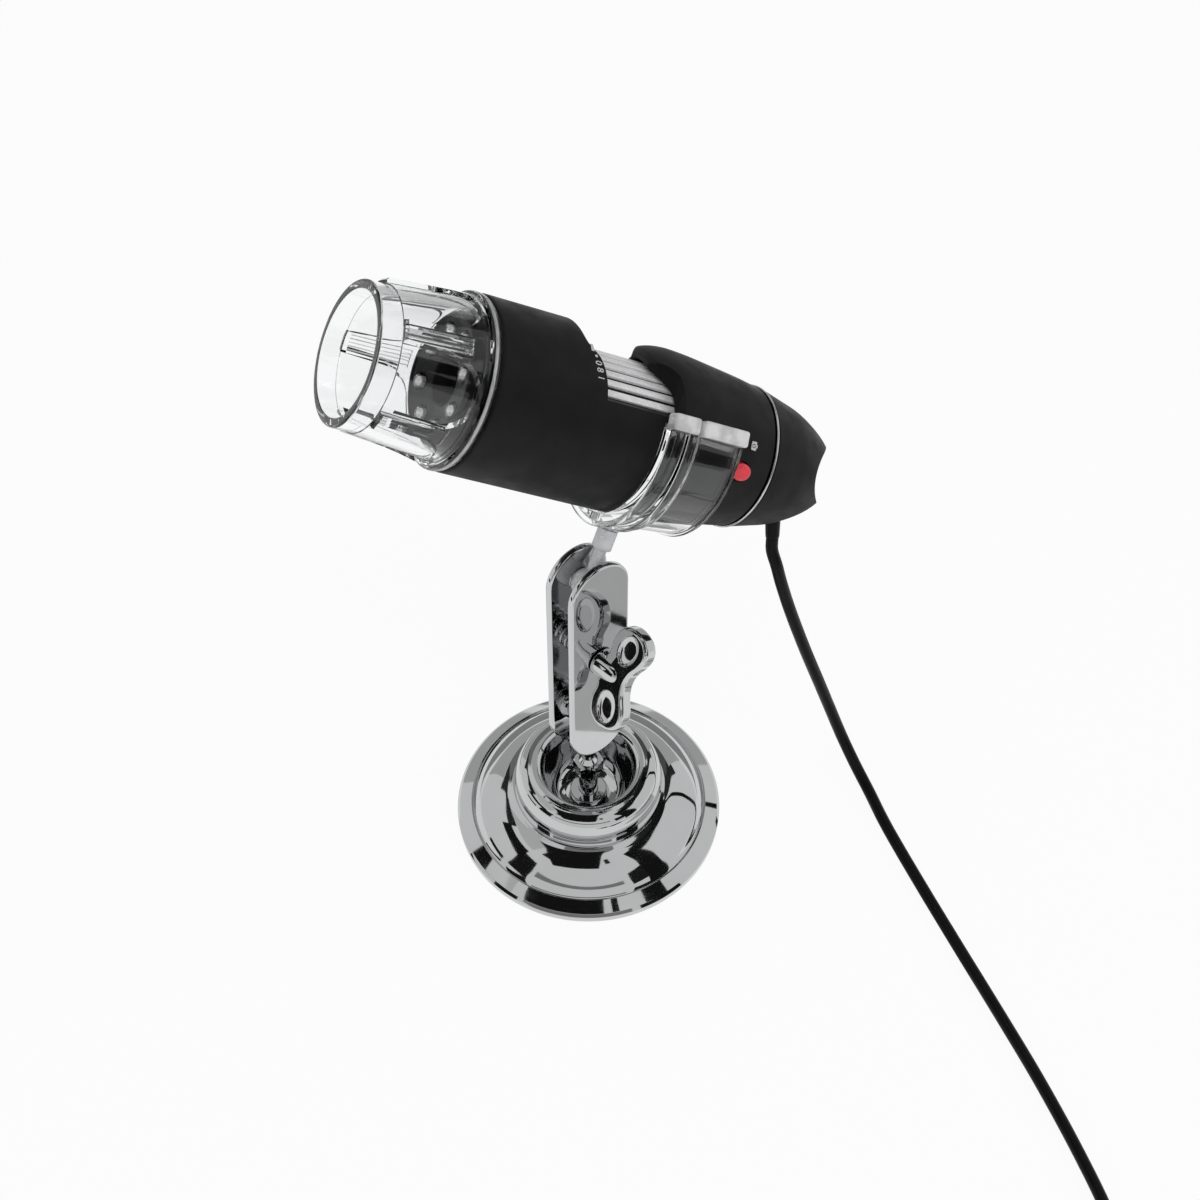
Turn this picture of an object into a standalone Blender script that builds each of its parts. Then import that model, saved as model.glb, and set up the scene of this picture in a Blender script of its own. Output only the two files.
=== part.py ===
"""A hand-held USB microscope on its chrome ball-joint stand.

The stand's foot sits at the origin, on the table plane z = 0, and +Z is up.
The viewer stands at -Y.  Pieces are grouped under empties that mark the axes they turn about:
the foot's stud (vertical), the lower ball, the upper ball, the clear cradle and the barrel's own axis.
In the barrel's frame +Z runs from the nose to the tail, +X is the side of the focus window
and +Y is the side of the snapshot button.
"""
import math

import bmesh
import bpy
from mathutils import Matrix, Vector

MM = 0.001

# Clearances shared by every fit
GAP = 0.3 * MM            # between pieces that touch
RUN = 0.35 * MM           # between pieces that turn or slide on each other
OVERRUN = 1.0 * MM        # how far a cutter runs past the face that it opens

# Stand: foot
FOOT_R = 29.2 * MM
FOOT_LIFT = 0.8 * MM          # the metal edge hangs this far above the table
FOOT_EDGE_H = 1.6 * MM
FOOT_CHAMFER = 0.6 * MM
RIM_R = 25.6 * MM             # where the bevelled rim meets the dome
RIM_Z = 4.5 * MM
GROOVE = 0.35 * MM
DOME_R = 16.7 * MM            # where the dome meets the collar
DOME_Z = 10.6 * MM
COLLAR_R = 16.1 * MM
COLLAR_BAND_Z = 13.1 * MM
COLLAR_TOP_R = 11.8 * MM
CUP_R = 10.4 * MM
CUP_TOP_Z = 18.5 * MM
CUP_FLOOR_R = 4.6 * MM
CUP_FLOOR_Z = 6.9 * MM
CUP_WALL = 1.4 * MM
PAD_R = 27.2 * MM
PAD_T = 1.6 * MM

# Stand: stud with the lower ball
SHANK_R = 1.9 * MM
STUD_FLANGE_R = 4.0 * MM
STUD_FLANGE_T = 1.6 * MM
STUD_R = 2.1 * MM
STUD_HEX_R = 3.3 * MM
STUD_HEX_Z = 16.6 * MM
STUD_HEX_H = 3.6 * MM
NECK_R = 1.3 * MM
BALL_R = 3.3 * MM
LOWER_BALL_Z = 36.6 * MM
NUT_R = 4.3 * MM
NUT_H = 2.2 * MM

# Stand: clamping arm, two plates that grip both balls
ARM_LENGTH = 39.0 * MM        # from ball centre to ball centre
ARM_LEAN = math.radians(8.0)
ARM_TURN = math.radians(39.5)
PLATE_HALF_W = 7.3 * MM
PLATE_T = 1.65 * MM
PLATE_INNER = 2.6 * MM        # inner face, from the arm's middle plane
PLATE_EDGE = 0.55 * MM
SCREW_RISE = 1.2 * MM         # the screw sits this far above the arm's middle
SCREW_R = 1.5 * MM
SCREW_HEAD_R = 3.3 * MM
SCREW_HEAD_T = 1.8 * MM
SPRING_R = 2.5 * MM
SPRING_WIRE_R = 0.4 * MM
SPRING_CURLS = 2.5
WING_HUB_R = 3.1 * MM
WING_HUB_L = 5.2 * MM
WING_SPAN = 11.6 * MM         # from the screw's axis to a wing's tip
WING_REACH = 9.6 * MM         # how far the wings stand out past the hub's foot
WING_FOOT = 1.6 * MM          # wings start this far from the hub's foot
WING_T = 3.2 * MM
WING_TURN = math.radians(25)
OVAL_LONG = 3.7 * MM
OVAL_SHORT = 2.6 * MM
OVAL_DEPTH = 0.7 * MM
OVAL_OFFSET = 6.8 * MM

# Stem and clear cradle
STEM_REACH = 15.7 * MM        # from the upper ball's centre to the sleeve's skin
STEM_R = 2.05 * MM
STEM_EDGE = 0.4 * MM
STEM_NECK_R = 1.3 * MM
STEM_NECK_END = 7.8 * MM
STEM_PIN_R = 1.3 * MM
BOSS_OUT = 0.2 * MM           # the cradle's boss stands this far past the ribs
BOSS_WALL = 0.7 * MM
CRADLE_AT = 42.0 * MM         # stem's place along the barrel, from the sleeve's front
CRADLE_START = 35.3 * MM
CRADLE_END = 52.6 * MM
CRADLE_WALL = 1.5 * MM
CRADLE_RIM = 1.2 * MM         # how far the front rim stands out from the wall
CRADLE_RIM_W = 1.6 * MM
CRADLE_RIB_AT = 39.5 * MM
CRADLE_RIB_W = 1.6 * MM
CRADLE_BEAD_AT = 42.2 * MM
CRADLE_BEAD_W = 0.7 * MM
CRADLE_BEAD = 0.5 * MM
CRADLE_TAPER = 0.7 * MM       # the rear end is this much slimmer
CRADLE_OPEN = math.radians(70)    # half of the angle that the cradle leaves open
LIP_OUT = 3.3 * MM
LIP_W = 3.2 * MM
LIP_NOTCH = 0.9 * MM
LIP_EDGE = 0.8 * MM
LIP_INSET = 0.25 * MM         # the lips start this far behind the cradle's ends

# Barrel
NOSE_AZIMUTH = math.radians(11.07)
NOSE_RISE = math.radians(31.0)
STEM_ROLL = math.radians(29.0)    # the stem leans away from the viewer by this much
SLEEVE_R = 17.0 * MM
STEM_LENGTH = SLEEVE_R + STEM_REACH    # from the upper ball's centre to the barrel's axis
SLEEVE_WALL = 1.6 * MM
SLEEVE_END = 38.0 * MM
SLEEVE_EDGE = 0.5 * MM
WINDOW_FRONT = 18.3 * MM
WINDOW_CORNER = 22.7 * MM
WINDOW_PEAK = 35.0 * MM       # the rear lip's foremost point
WINDOW_REAR = 39.8 * MM
WINDOW_DROP = 9.8 * MM        # the window's side edges lie this far below the skin
WINDOW_LEVEL = SLEEVE_R - WINDOW_DROP
HOUSING_LIP_DROP = 2.8 * MM
HOUSING_LIP_R = SLEEVE_R - HOUSING_LIP_DROP
HOUSING_LIP_T = 0.9 * MM
HOUSING_BORE_R = HOUSING_LIP_R - HOUSING_LIP_T
HOUSING_DROP = 0.4 * MM
HOUSING_R = SLEEVE_R - HOUSING_DROP      # widest, just behind the lip
HOUSING_SWELL_L = 3.5 * MM
HOUSING_WIDE_AT = SLEEVE_END + HOUSING_SWELL_L
HOUSING_MID_TAPER = 0.9 * MM
HOUSING_MID_R = HOUSING_R - HOUSING_MID_TAPER
HOUSING_MID_L = 10.5 * MM
HOUSING_MID_AT = HOUSING_WIDE_AT + HOUSING_MID_L
HOUSING_END_TAPER = 1.4 * MM
HOUSING_END_R = HOUSING_MID_R - HOUSING_END_TAPER
HOUSING_END_L = 10.8 * MM
HOUSING_END = HOUSING_MID_AT + HOUSING_END_L
HOUSING_WALL = 1.5 * MM
SPIGOT_L = 3.0 * MM
TRIM_T = 0.5 * MM
TRIM_OUT = 0.25 * MM
TAIL_L = 21.4 * MM
TAIL_END = HOUSING_END + TAIL_L
TAIL_TAPER = 9.9 * MM         # the tip is this much slimmer than the tail's start
TAIL_TIP_R = HOUSING_END_R - TAIL_TAPER
TAIL_WALL = 1.5 * MM
SCOOP_R = 7.5 * MM
SCOOP_DEPTH = 4.5 * MM
SCOOP_ASIDE = 1.2 * MM
SCOOP_TURN = math.radians(-10)
SCOOP_TILT = math.radians(15)

# Barrel's inner tube, focus wheel and lens
WHEEL_DROP = 4.3 * MM         # the wheel's ribs lie this far below the sleeve's skin
WHEEL_R = SLEEVE_R - WHEEL_DROP
CORE_SHARE = 9.7 / 17.0       # of the sleeve's radius
CORE_R = SLEEVE_R * CORE_SHARE
CORE_WALL = 1.3 * MM
CORE_BORE_R = CORE_R - CORE_WALL
CORE_START = 2.2 * MM
CORE_FLANGE_T = 1.4 * MM
CORE_FLANGE_AT = 43.5 * MM
SLOT_W = 1.8 * MM
SLOT_START = 20.6 * MM
SLOT_END = 33.4 * MM
WHEEL_START = 17.0 * MM
WHEEL_END = 42.4 * MM
WHEEL_RIBS = 36
WHEEL_RIB = 0.55 * MM
CARRIAGE_START = 14.0 * MM
CARRIAGE_L = 12.0 * MM
CARRIAGE_SHARE = 5.6 / 8.4    # of the core's bore
CARRIAGE_BORE_R = CORE_BORE_R * CARRIAGE_SHARE
CARRIAGE_STOP = 1.4 * MM
CARRIAGE_STOP_R = CARRIAGE_BORE_R - CARRIAGE_STOP
CARRIAGE_PIN_AT = 22.5 * MM
LENS_R = CARRIAGE_BORE_R - GAP
LENS_T = 2.2 * MM
LENS_SEAT = 1.4 * MM
BOARD_AT = 49.6 * MM
BOARD_T = 1.2 * MM
SENSOR_W = 6.0 * MM
SENSOR_T = 1.3 * MM
SENSOR_STAND_R = 4.4 * MM
SENSOR_STAND_T = 0.8 * MM

# Lamp ring inside the nose
LAMP_COUNT = 8
LAMP_HOLDER_DROP = 4.4 * MM
LAMP_HOLDER_R = SLEEVE_R - LAMP_HOLDER_DROP
LAMP_HOLDER_FRONT = -4.0 * MM
LAMP_HOLDER_END = 1.9 * MM
LAMP_FACE_DISH = 1.2 * MM       # the face is this much deeper at its middle
LAMP_FACE_W = 7.6 * MM
LAMP_BORE_R = LAMP_HOLDER_R - LAMP_FACE_W
LAMP_INSET = 3.6 * MM
LAMP_RING_R = LAMP_HOLDER_R - LAMP_INSET
LAMP_R = 1.5 * MM
LAMP_OUT = 1.1 * MM
LAMP_DEEP = 4.0 * MM

# Clear nose hood
HOOD_FRONT = -22.5 * MM
HOOD_RING_END = -18.2 * MM
HOOD_FRONT_DROP = 3.3 * MM
HOOD_FRONT_R = SLEEVE_R - HOOD_FRONT_DROP
HOOD_RING_WALL = 1.8 * MM
HOOD_FRONT_BORE_R = HOOD_FRONT_R - HOOD_RING_WALL
HOOD_BODY_DROP = 2.0 * MM
HOOD_BODY_R = SLEEVE_R - HOOD_BODY_DROP         # the raised rails, where they start behind the front ring
HOOD_REAR_DROP = 0.5 * MM
HOOD_REAR_R = SLEEVE_R - HOOD_REAR_DROP
HOOD_FLANGE_R = SLEEVE_R
HOOD_FLANGE_T = 1.7 * MM
HOOD_BORE_R = LAMP_HOLDER_R + GAP * 2           # just in front of the lamp holder
HOOD_SPIGOT_L = 3.2 * MM
HOOD_SPIGOT_T = 1.1 * MM
HOOD_STEP = 0.45 * MM
POCKETS = 6
POCKET_HALF_W = 5.4 * MM
POCKET_DEPTH = 1.15 * MM
POCKET_REAR = -2.9 * MM
POCKET_PHASE = math.radians(83)

# Snapshot button, its switch and the cord's gland
BUTTON_AT = 55.6 * MM
BUTTON_ANGLE = math.radians(88)
BUTTON_LONG = 2.15 * MM
BUTTON_SHORT = 1.75 * MM
BUTTON_OUT = 0.9 * MM
BUTTON_T = 4.2 * MM
SKIRT_T = 0.75 * MM
SKIRT_OUT = 1.0 * MM
BUTTON_TRAVEL = 0.6 * MM
SWITCH_W = 4.0 * MM
SWITCH_T = 2.4 * MM
GLAND_AT = 77.5 * MM
GLAND_SLANT = math.radians(23)
GLAND_R = 1.6 * MM
GLAND_TIP_R = 1.45 * MM
GLAND_OUT = 4.8 * MM
GLAND_IN = 3.0 * MM
GLAND_FLANGE_T = 1.0 * MM

# Cord, its coil, tie and plug
CORD_R = 1.3 * MM
COIL_MID_R = 15.6 * MM
COIL_PITCH = 3.1 * MM
COIL_RAMP = 4.375             # turns in and turns out, between which half a turn climbs
COIL_LIFT = 0.7 * MM          # the tie's strap lies under the turns
COIL_CENTRE = Vector((83.4 * MM, -125.0 * MM, 0.0))
TIE_T = 0.4 * MM
TIE_W = 4.5 * MM
TIE_ANGLE = math.radians(135)
PLUG_LEAD = 14.0 * MM
PLUG_RELIEF_L = 9.0 * MM
PLUG_RELIEF_R = 2.6 * MM
PLUG_BODY = Vector((21.0 * MM, 15.6 * MM, 8.4 * MM))
PLUG_EDGE = 1.1 * MM
PLUG_SHELL = Vector((18.0 * MM, 12.0 * MM, 4.5 * MM))
PLUG_SHELL_IN = 5.6 * MM
PLUG_SHELL_T = 0.4 * MM
PLUG_HOLE = 2.0 * MM
PLUG_TONGUE_T = 1.8 * MM

# The cord's free run, point by point from the gland's tip to the coil
CORD_ROUTE = [
    (38.95, 18.95, 63.9), (40.05, 18.15, 59.6), (41.9, 17.45, 53.0), (43.9, 17.0, 46.4), (46.9, 16.4, 37.1),
    (50.2, 15.9, 27.4), (53.6, 15.1, 17.6), (56.8, 13.0, 9.6), (60.0, 8.8, 4.4),
    (63.0, 3.1, 1.9), (65.6, -3.9, 1.4), (68.5, -11.1, 1.35), (73.6, -23.0, 1.35),
    (79.8, -37.0, 1.35), (86.3, -51.5, 1.35), (92.6, -66.0, 1.35), (98.4, -81.0, 1.35),
    (102.9, -95.0, 1.5), (105.2, -108.0, 1.9)]
CORD_STEP = 6.5 * MM

STEPS_LARGE = 36
STEPS_SMALL = 16

# Directions that place the arm, the stem and the barrel
ARM_DIR = Vector((0.0, math.sin(ARM_LEAN), math.cos(ARM_LEAN)))
ARM_FRONT = Vector((0.0, -math.cos(ARM_LEAN), math.sin(ARM_LEAN)))
PLATE_NORMAL = ARM_FRONT * math.cos(ARM_TURN) + ARM_DIR.cross(ARM_FRONT) * math.sin(ARM_TURN)
NOSE_DIR = Vector((-math.cos(NOSE_AZIMUTH) * math.cos(NOSE_RISE),
                   -math.sin(NOSE_AZIMUTH) * math.cos(NOSE_RISE), math.sin(NOSE_RISE)))
NOSE_TOP = (Vector((0.0, 0.0, 1.0)) - NOSE_DIR * NOSE_DIR.z).normalized()
STEM_DIR = NOSE_TOP * math.cos(STEM_ROLL) + NOSE_DIR.cross(NOSE_TOP) * math.sin(STEM_ROLL)
LOWER_BALL = Vector((0.0, 0.0, LOWER_BALL_Z))
UPPER_BALL = LOWER_BALL + ARM_DIR * ARM_LENGTH
CRADLE_CENTRE = UPPER_BALL + STEM_DIR * STEM_LENGTH
SLEEVE_FRONT = CRADLE_CENTRE + NOSE_DIR * CRADLE_AT


def clear_scene():
    for ob in list(bpy.data.objects):
        bpy.data.objects.remove(ob, do_unlink=True)


def collection(name):
    made = bpy.data.collections.new(name)
    bpy.context.scene.collection.children.link(made)
    return made


def material(name, colour, roughness, metallic=0.0, transmission=0.0):
    mat = bpy.data.materials.new(name)
    mat.use_nodes = True
    shader = mat.node_tree.nodes["Principled BSDF"]
    shader.inputs["Base Color"].default_value = (*colour, 1.0)
    shader.inputs["Roughness"].default_value = roughness
    shader.inputs["Metallic"].default_value = metallic
    shader.inputs["Transmission Weight"].default_value = transmission
    mat.diffuse_color = (*colour, 1.0)
    return mat


def axes(x_dir, z_dir, origin):
    """A placement whose +Z is z_dir and whose +X is x_dir."""
    z = z_dir.normalized()
    x = (x_dir - z * x_dir.dot(z)).normalized()
    y = z.cross(x)
    place = Matrix((x, y, z)).transposed().to_4x4()
    place.translation = origin
    return place


def empty(name, place, parent=None):
    ob = bpy.data.objects.new(name, None)
    PARTS.objects.link(ob)
    ob.empty_display_size = GAP
    ob.parent = parent
    ob.matrix_world = place
    bpy.context.view_layer.update()
    return ob


def link(name, mesh, parent, mat, local=None):
    ob = bpy.data.objects.new(name, mesh)
    (PARTS if mat else CUTTERS).objects.link(ob)
    ob.parent = parent
    ob.matrix_local = local or Matrix.Identity(4)
    if mat:
        mesh.materials.append(mat)
    else:
        ob.hide_render = True
        ob.display_type = "WIRE"
    return ob


def lathe(name, outline, parent, mat, steps=STEPS_LARGE, local=None):
    """Turn an outline of (radius, height) points about +Z.  It runs down the outer side."""
    area = sum(a[0] * b[1] - b[0] * a[1] for a, b in zip(outline, outline[1:] + outline[:1]))
    points = outline if area < 0 else outline[::-1]
    ends_on_axis = points[0][0] == 0 and points[-1][0] == 0
    if not ends_on_axis and any(r == 0 for r, _ in points):
        first = next(i for i, p in enumerate(points) if p[0] == 0 and points[i - 1][0] == 0)
        points = points[first:] + points[:first]
        ends_on_axis = True
    mesh = bpy.data.meshes.new(name)
    count = len(points)
    edges = [(i, i + 1) for i in range(count - 1)]
    if not ends_on_axis:
        edges.append((count - 1, 0))
    mesh.from_pydata([(r, 0.0, z) for r, z in points], edges, [])
    ob = link(name, mesh, parent, mat, local)
    screw = ob.modifiers.new("turn", "SCREW")
    screw.steps = steps
    screw.render_steps = steps
    screw.use_merge_vertices = True
    screw.merge_threshold = 0.00001
    screw.use_smooth_shade = True
    return ob


def box(name, size, centre, parent, mat, local=None):
    mesh = bpy.data.meshes.new(name)
    bm = bmesh.new()
    bmesh.ops.create_cube(bm, size=1.0)
    bmesh.ops.scale(bm, vec=size, verts=bm.verts)
    bmesh.ops.translate(bm, vec=centre, verts=bm.verts)
    bm.to_mesh(mesh)
    bm.free()
    return link(name, mesh, parent, mat, local)


def cylinder(name, radius, start, end, parent, mat, steps=STEPS_SMALL, local=None, tip=None):
    """A cylinder or cone along +Z from start to end."""
    mesh = bpy.data.meshes.new(name)
    bm = bmesh.new()
    bmesh.ops.create_cone(bm, cap_ends=True, segments=steps, radius1=radius,
                          radius2=radius if tip is None else tip, depth=end - start)
    bmesh.ops.translate(bm, vec=(0, 0, (start + end) / 2), verts=bm.verts)
    bm.to_mesh(mesh)
    bm.free()
    return link(name, mesh, parent, mat, local)


def sphere(name, radius, parent, mat, local=None, steps=STEPS_SMALL, scale=(1, 1, 1)):
    mesh = bpy.data.meshes.new(name)
    bm = bmesh.new()
    bmesh.ops.create_uvsphere(bm, u_segments=steps, v_segments=steps // 2, radius=radius)
    bmesh.ops.scale(bm, vec=scale, verts=bm.verts)
    bm.to_mesh(mesh)
    bm.free()
    return link(name, mesh, parent, mat, local)


def mesh_from_curve(name, curve, parent, mat, local):
    """Make a curve's solid a mesh, with its caps welded to its sides."""
    guide = bpy.data.objects.new(name + "_guide", curve)
    CUTTERS.objects.link(guide)
    bpy.context.view_layer.update()
    seen = guide.evaluated_get(bpy.context.evaluated_depsgraph_get())
    mesh = bpy.data.meshes.new_from_object(seen)
    bpy.data.objects.remove(guide, do_unlink=True)
    mesh.materials.clear()
    bm = bmesh.new()
    bm.from_mesh(mesh)
    bmesh.ops.remove_doubles(bm, verts=bm.verts, dist=0.000001)
    bm.to_mesh(mesh)
    bm.free()
    return link(name, mesh, parent, mat, local)


def slab(name, outline, start, end, parent, mat, local=None):
    """A flat outline of (x, y) points, from start to end along +Z."""
    curve = bpy.data.curves.new(name, "CURVE")
    curve.dimensions = "2D"
    curve.fill_mode = "BOTH"
    curve.extrude = (end - start) / 2
    spline = curve.splines.new("POLY")
    spline.points.add(len(outline) - 1)
    for point, (x, y) in zip(spline.points, outline):
        point.co = (x, y, 0, 1)
    spline.use_cyclic_u = True
    lift = Matrix.Translation((0, 0, (start + end) / 2))
    return mesh_from_curve(name, curve, parent, mat, (local or Matrix.Identity(4)) @ lift)


def tube(name, points, radius, parent, mat, sides=2, local=None):
    """One unbroken round tube through the points, with closed ends."""
    curve = bpy.data.curves.new(name, "CURVE")
    curve.dimensions = "3D"
    curve.bevel_depth = radius
    curve.bevel_resolution = sides
    curve.use_fill_caps = True
    spline = curve.splines.new("POLY")
    spline.points.add(len(points) - 1)
    for point, place in zip(spline.points, points):
        point.co = (*place, 1)
    return mesh_from_curve(name, curve, parent, mat, local or Matrix.Identity(4))


def boolean(target, other, operation="DIFFERENCE"):
    step = target.modifiers.new(other.name, "BOOLEAN")
    step.operation = operation
    step.solver = "EXACT"
    step.object = other
    return target


def bevel(ob, width, segments=1):
    step = ob.modifiers.new("edge", "BEVEL")
    step.width = width
    step.segments = segments
    step.limit_method = "ANGLE"
    step.angle_limit = math.radians(40)
    return ob


def ellipse(long, short, count, turn=0.0, centre=(0.0, 0.0)):
    points = []
    for i in range(count):
        a = math.tau * i / count
        x, y = long * math.cos(a), short * math.sin(a)
        points.append((centre[0] + x * math.cos(turn) - y * math.sin(turn),
                       centre[1] + x * math.sin(turn) + y * math.cos(turn)))
    return points


def smooth_route(route, step):
    """Points a step apart on a smooth curve through the route's points."""
    places = [Vector(p) for p in route]
    places = [places[0] * 2 - places[1]] + places + [places[-1] * 2 - places[-2]]
    fine = []
    for a, b, c, d in zip(places, places[1:], places[2:], places[3:]):
        for i in range(20):
            t = i / 20
            fine.append(0.5 * (b * 2 + (c - a) * t + (a * 2 - b * 5 + c * 4 - d) * t ** 2
                               + (b * 3 - a - c * 3 + d) * t ** 3))
    fine.append(places[-2])
    total = sum((b - a).length for a, b in zip(fine, fine[1:]))
    count = max(2, round(total / step))
    chosen, walked, target = [fine[0]], 0.0, total / count
    for a, b in zip(fine, fine[1:]):
        length = (b - a).length
        while walked + length >= target - 1e-9 and len(chosen) < count:
            chosen.append(a.lerp(b, (target - walked) / length))
            target += total / count
        walked += length
    chosen.append(fine[-1])
    return chosen, total


def around(angle, radius, along):
    """A point round the barrel's axis, in the barrel's frame."""
    return Vector((radius * math.cos(angle), radius * math.sin(angle), along))


def build_foot():
    hole = SHANK_R + GAP
    ledge = PAD_T + GAP
    floor_under = CUP_FLOOR_Z - CUP_WALL
    edge_top = FOOT_LIFT + FOOT_EDGE_H
    dome_w, dome_h = RIM_R - DOME_R, DOME_Z - RIM_Z
    outline = [
        (FOOT_R, FOOT_LIFT), (FOOT_R, edge_top), (FOOT_R - FOOT_CHAMFER, edge_top + FOOT_CHAMFER),
        (RIM_R + GROOVE, RIM_Z), (RIM_R, RIM_Z - GROOVE), (RIM_R - GROOVE, RIM_Z)]
    for share_r, share_z in DOME_SHARES:
        outline.append((DOME_R + dome_w * share_r, RIM_Z + dome_h * share_z))
    outline += [
        (DOME_R, DOME_Z), (COLLAR_R, DOME_Z), (COLLAR_R, COLLAR_BAND_Z),
        (COLLAR_R - GROOVE * 2, COLLAR_BAND_Z), (COLLAR_R - GROOVE * 2, COLLAR_BAND_Z + GROOVE)]
    band_r, band_z = COLLAR_R - GROOVE, COLLAR_BAND_Z + GROOVE * 2
    for share_r, share_z in COLLAR_SHARES:
        outline.append((COLLAR_TOP_R + (band_r - COLLAR_TOP_R) * share_r,
                        band_z + (CUP_TOP_Z - band_z) * share_z))
    for share_r, share_z in CUP_SHARES:
        outline.append((CUP_FLOOR_R + (CUP_R - CUP_FLOOR_R) * share_r,
                        CUP_FLOOR_Z + (CUP_TOP_Z - CUP_FLOOR_Z) * share_z))
    outline += [
        (hole, CUP_FLOOR_Z), (hole, floor_under), (CUP_FLOOR_R + CUP_WALL, floor_under),
        (CUP_R, DOME_Z - CUP_WALL * 2), (DOME_R, DOME_Z - CUP_WALL),
        (RIM_R - CUP_WALL, RIM_Z - CUP_WALL), (PAD_R - CUP_WALL, ledge),
        (PAD_R + GAP, ledge), (PAD_R + GAP, FOOT_LIFT)]
    lathe("base_shell", outline, FOOT, CHROME)
    lathe("base_pad", [(0, PAD_T), (PAD_R, PAD_T), (PAD_R, 0), (0, 0)], FOOT, RUBBER)
    nut = cylinder("stud_nut", NUT_R, floor_under - GAP - NUT_H, floor_under - GAP, FOOT, STEEL, 6)
    boolean(nut, cylinder("nut_bore", hole, -NUT_H, DOME_Z, FOOT, None))


def build_stud():
    bottom = CUP_FLOOR_Z - CUP_WALL - GAP - NUT_H
    seat = CUP_FLOOR_Z + GAP
    hex_top = STUD_HEX_Z + STUD_HEX_H
    neck_top = LOWER_BALL_Z - math.sqrt(BALL_R ** 2 - NECK_R ** 2)
    outline = [(0, LOWER_BALL_Z + BALL_R)]
    start = math.asin(NECK_R / BALL_R)
    for i in range(1, 12):
        a = (math.pi - start) * i / 12
        outline.append((BALL_R * math.sin(a), LOWER_BALL_Z + BALL_R * math.cos(a)))
    outline += [
        (NECK_R, neck_top), (NECK_R, hex_top + NECK_R), (STUD_R, hex_top + GAP), (STUD_R, seat + STUD_FLANGE_T),
        (STUD_FLANGE_R, seat + STUD_FLANGE_T), (STUD_FLANGE_R, seat), (SHANK_R, seat),
        (SHANK_R, bottom), (0, bottom)]
    stud = lathe("ball_stud", outline, STUD, CHROME, STEPS_SMALL)
    collar = cylinder("stud_hex", STUD_HEX_R, STUD_HEX_Z, hex_top, STUD, None, 6)
    boolean(stud, collar, "UNION")


def stadium(count=12):
    """The plates' outline in (across, along), round both balls."""
    points = []
    for centre, first in ((ARM_LENGTH, 0.0), (0.0, math.pi)):
        for i in range(count + 1):
            a = first + math.pi * i / count
            points.append((PLATE_HALF_W * math.cos(a), centre + PLATE_HALF_W * math.sin(a)))
    return points


def build_arm():
    turned = Matrix(((0, 0, 1, 0), (1, 0, 0, 0), (0, 1, 0, 0), (0, 0, 0, 1)))
    outer = PLATE_INNER + PLATE_T
    middle = ARM_LENGTH / 2 + SCREW_RISE
    screw_line = Matrix.Translation((0, 0, middle)) @ turned
    hole = cylinder("plate_hole", SCREW_R + GAP, -outer * 2, outer * 2, ARM, None, STEPS_SMALL, screw_line)
    sockets = [sphere("socket_low", BALL_R + GAP, ARM, None),
               sphere("socket_high", BALL_R + GAP, ARM, None, Matrix.Translation((0, 0, ARM_LENGTH)))]
    for name, start, end in (("front_plate", PLATE_INNER, outer), ("rear_plate", -outer, -PLATE_INNER)):
        plate = slab(name, stadium(), start, end, ARM, CHROME, turned)
        bevel(plate, PLATE_EDGE)
        for cutter in [hole] + sockets:
            boolean(plate, cutter)
    head_foot = -outer - GAP
    thread_end = outer + GAP + WING_HUB_L
    lathe("clamp_screw", [
        (0, thread_end), (SCREW_R, thread_end), (SCREW_R, head_foot), (SCREW_HEAD_R, head_foot),
        (SCREW_HEAD_R, head_foot - SCREW_HEAD_T * HEAD_SIDE_SHARE),
        (SCREW_HEAD_R * HEAD_TOP_SHARE, head_foot - SCREW_HEAD_T), (0, head_foot - SCREW_HEAD_T)],
        ARM, CHROME, STEPS_SMALL, screw_line)
    reach = PLATE_INNER - GAP - SPRING_WIRE_R
    turns = []
    count = round(10 * SPRING_CURLS)
    for i in range(count + 1):
        a = math.tau * SPRING_CURLS * i / count
        turns.append((SPRING_R * math.cos(a), SPRING_R * math.sin(a), reach * (2 * i / count - 1)))
    tube("clamp_spring", turns, SPRING_WIRE_R, ARM, STEEL, 1, screw_line)


def wing_outline():
    """Half of the wings' outline in (span, reach), for the side with +span."""
    return [(WING_SPAN * a, WING_FOOT + WING_REACH * b) for a, b in WING_SHARES]


def build_wing_nut():
    foot = PLATE_INNER + PLATE_T + GAP
    half = wing_outline()
    outline = half + [(-x, y) for x, y in reversed(half)]
    flat = Matrix(((1, 0, 0, 0), (0, 0, -1, 0), (0, 1, 0, foot), (0, 0, 0, 1)))
    wings = slab("wing_nut", outline, -WING_T / 2, WING_T / 2, WING, CHROME, flat)
    bevel(wings, PLATE_EDGE)
    hub = cylinder("wing_hub", WING_HUB_R, foot, foot + WING_HUB_L, WING, None, STEPS_SMALL,
                   tip=WING_HUB_R * HUB_TIP_SHARE)
    boolean(wings, hub, "UNION")
    boolean(wings, cylinder("wing_bore", SCREW_R + GAP, foot - OVERRUN, foot + WING_HUB_L + GAP, WING, None))
    reach = WING_FOOT + WING_REACH * OVAL_REACH_SHARE
    for side in (-1, 1):
        for face in (-1, 1):
            outer = WING_T / 2 * face
            low, high = sorted((outer - OVAL_DEPTH * face, outer + OVERRUN * face))
            oval = slab(f"oval_{side}_{face}",
                        ellipse(OVAL_LONG, OVAL_SHORT, 20, side * OVAL_TILT, (side * OVAL_OFFSET, reach)),
                        low, high, WING, None, flat)
            boolean(wings, oval)


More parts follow.
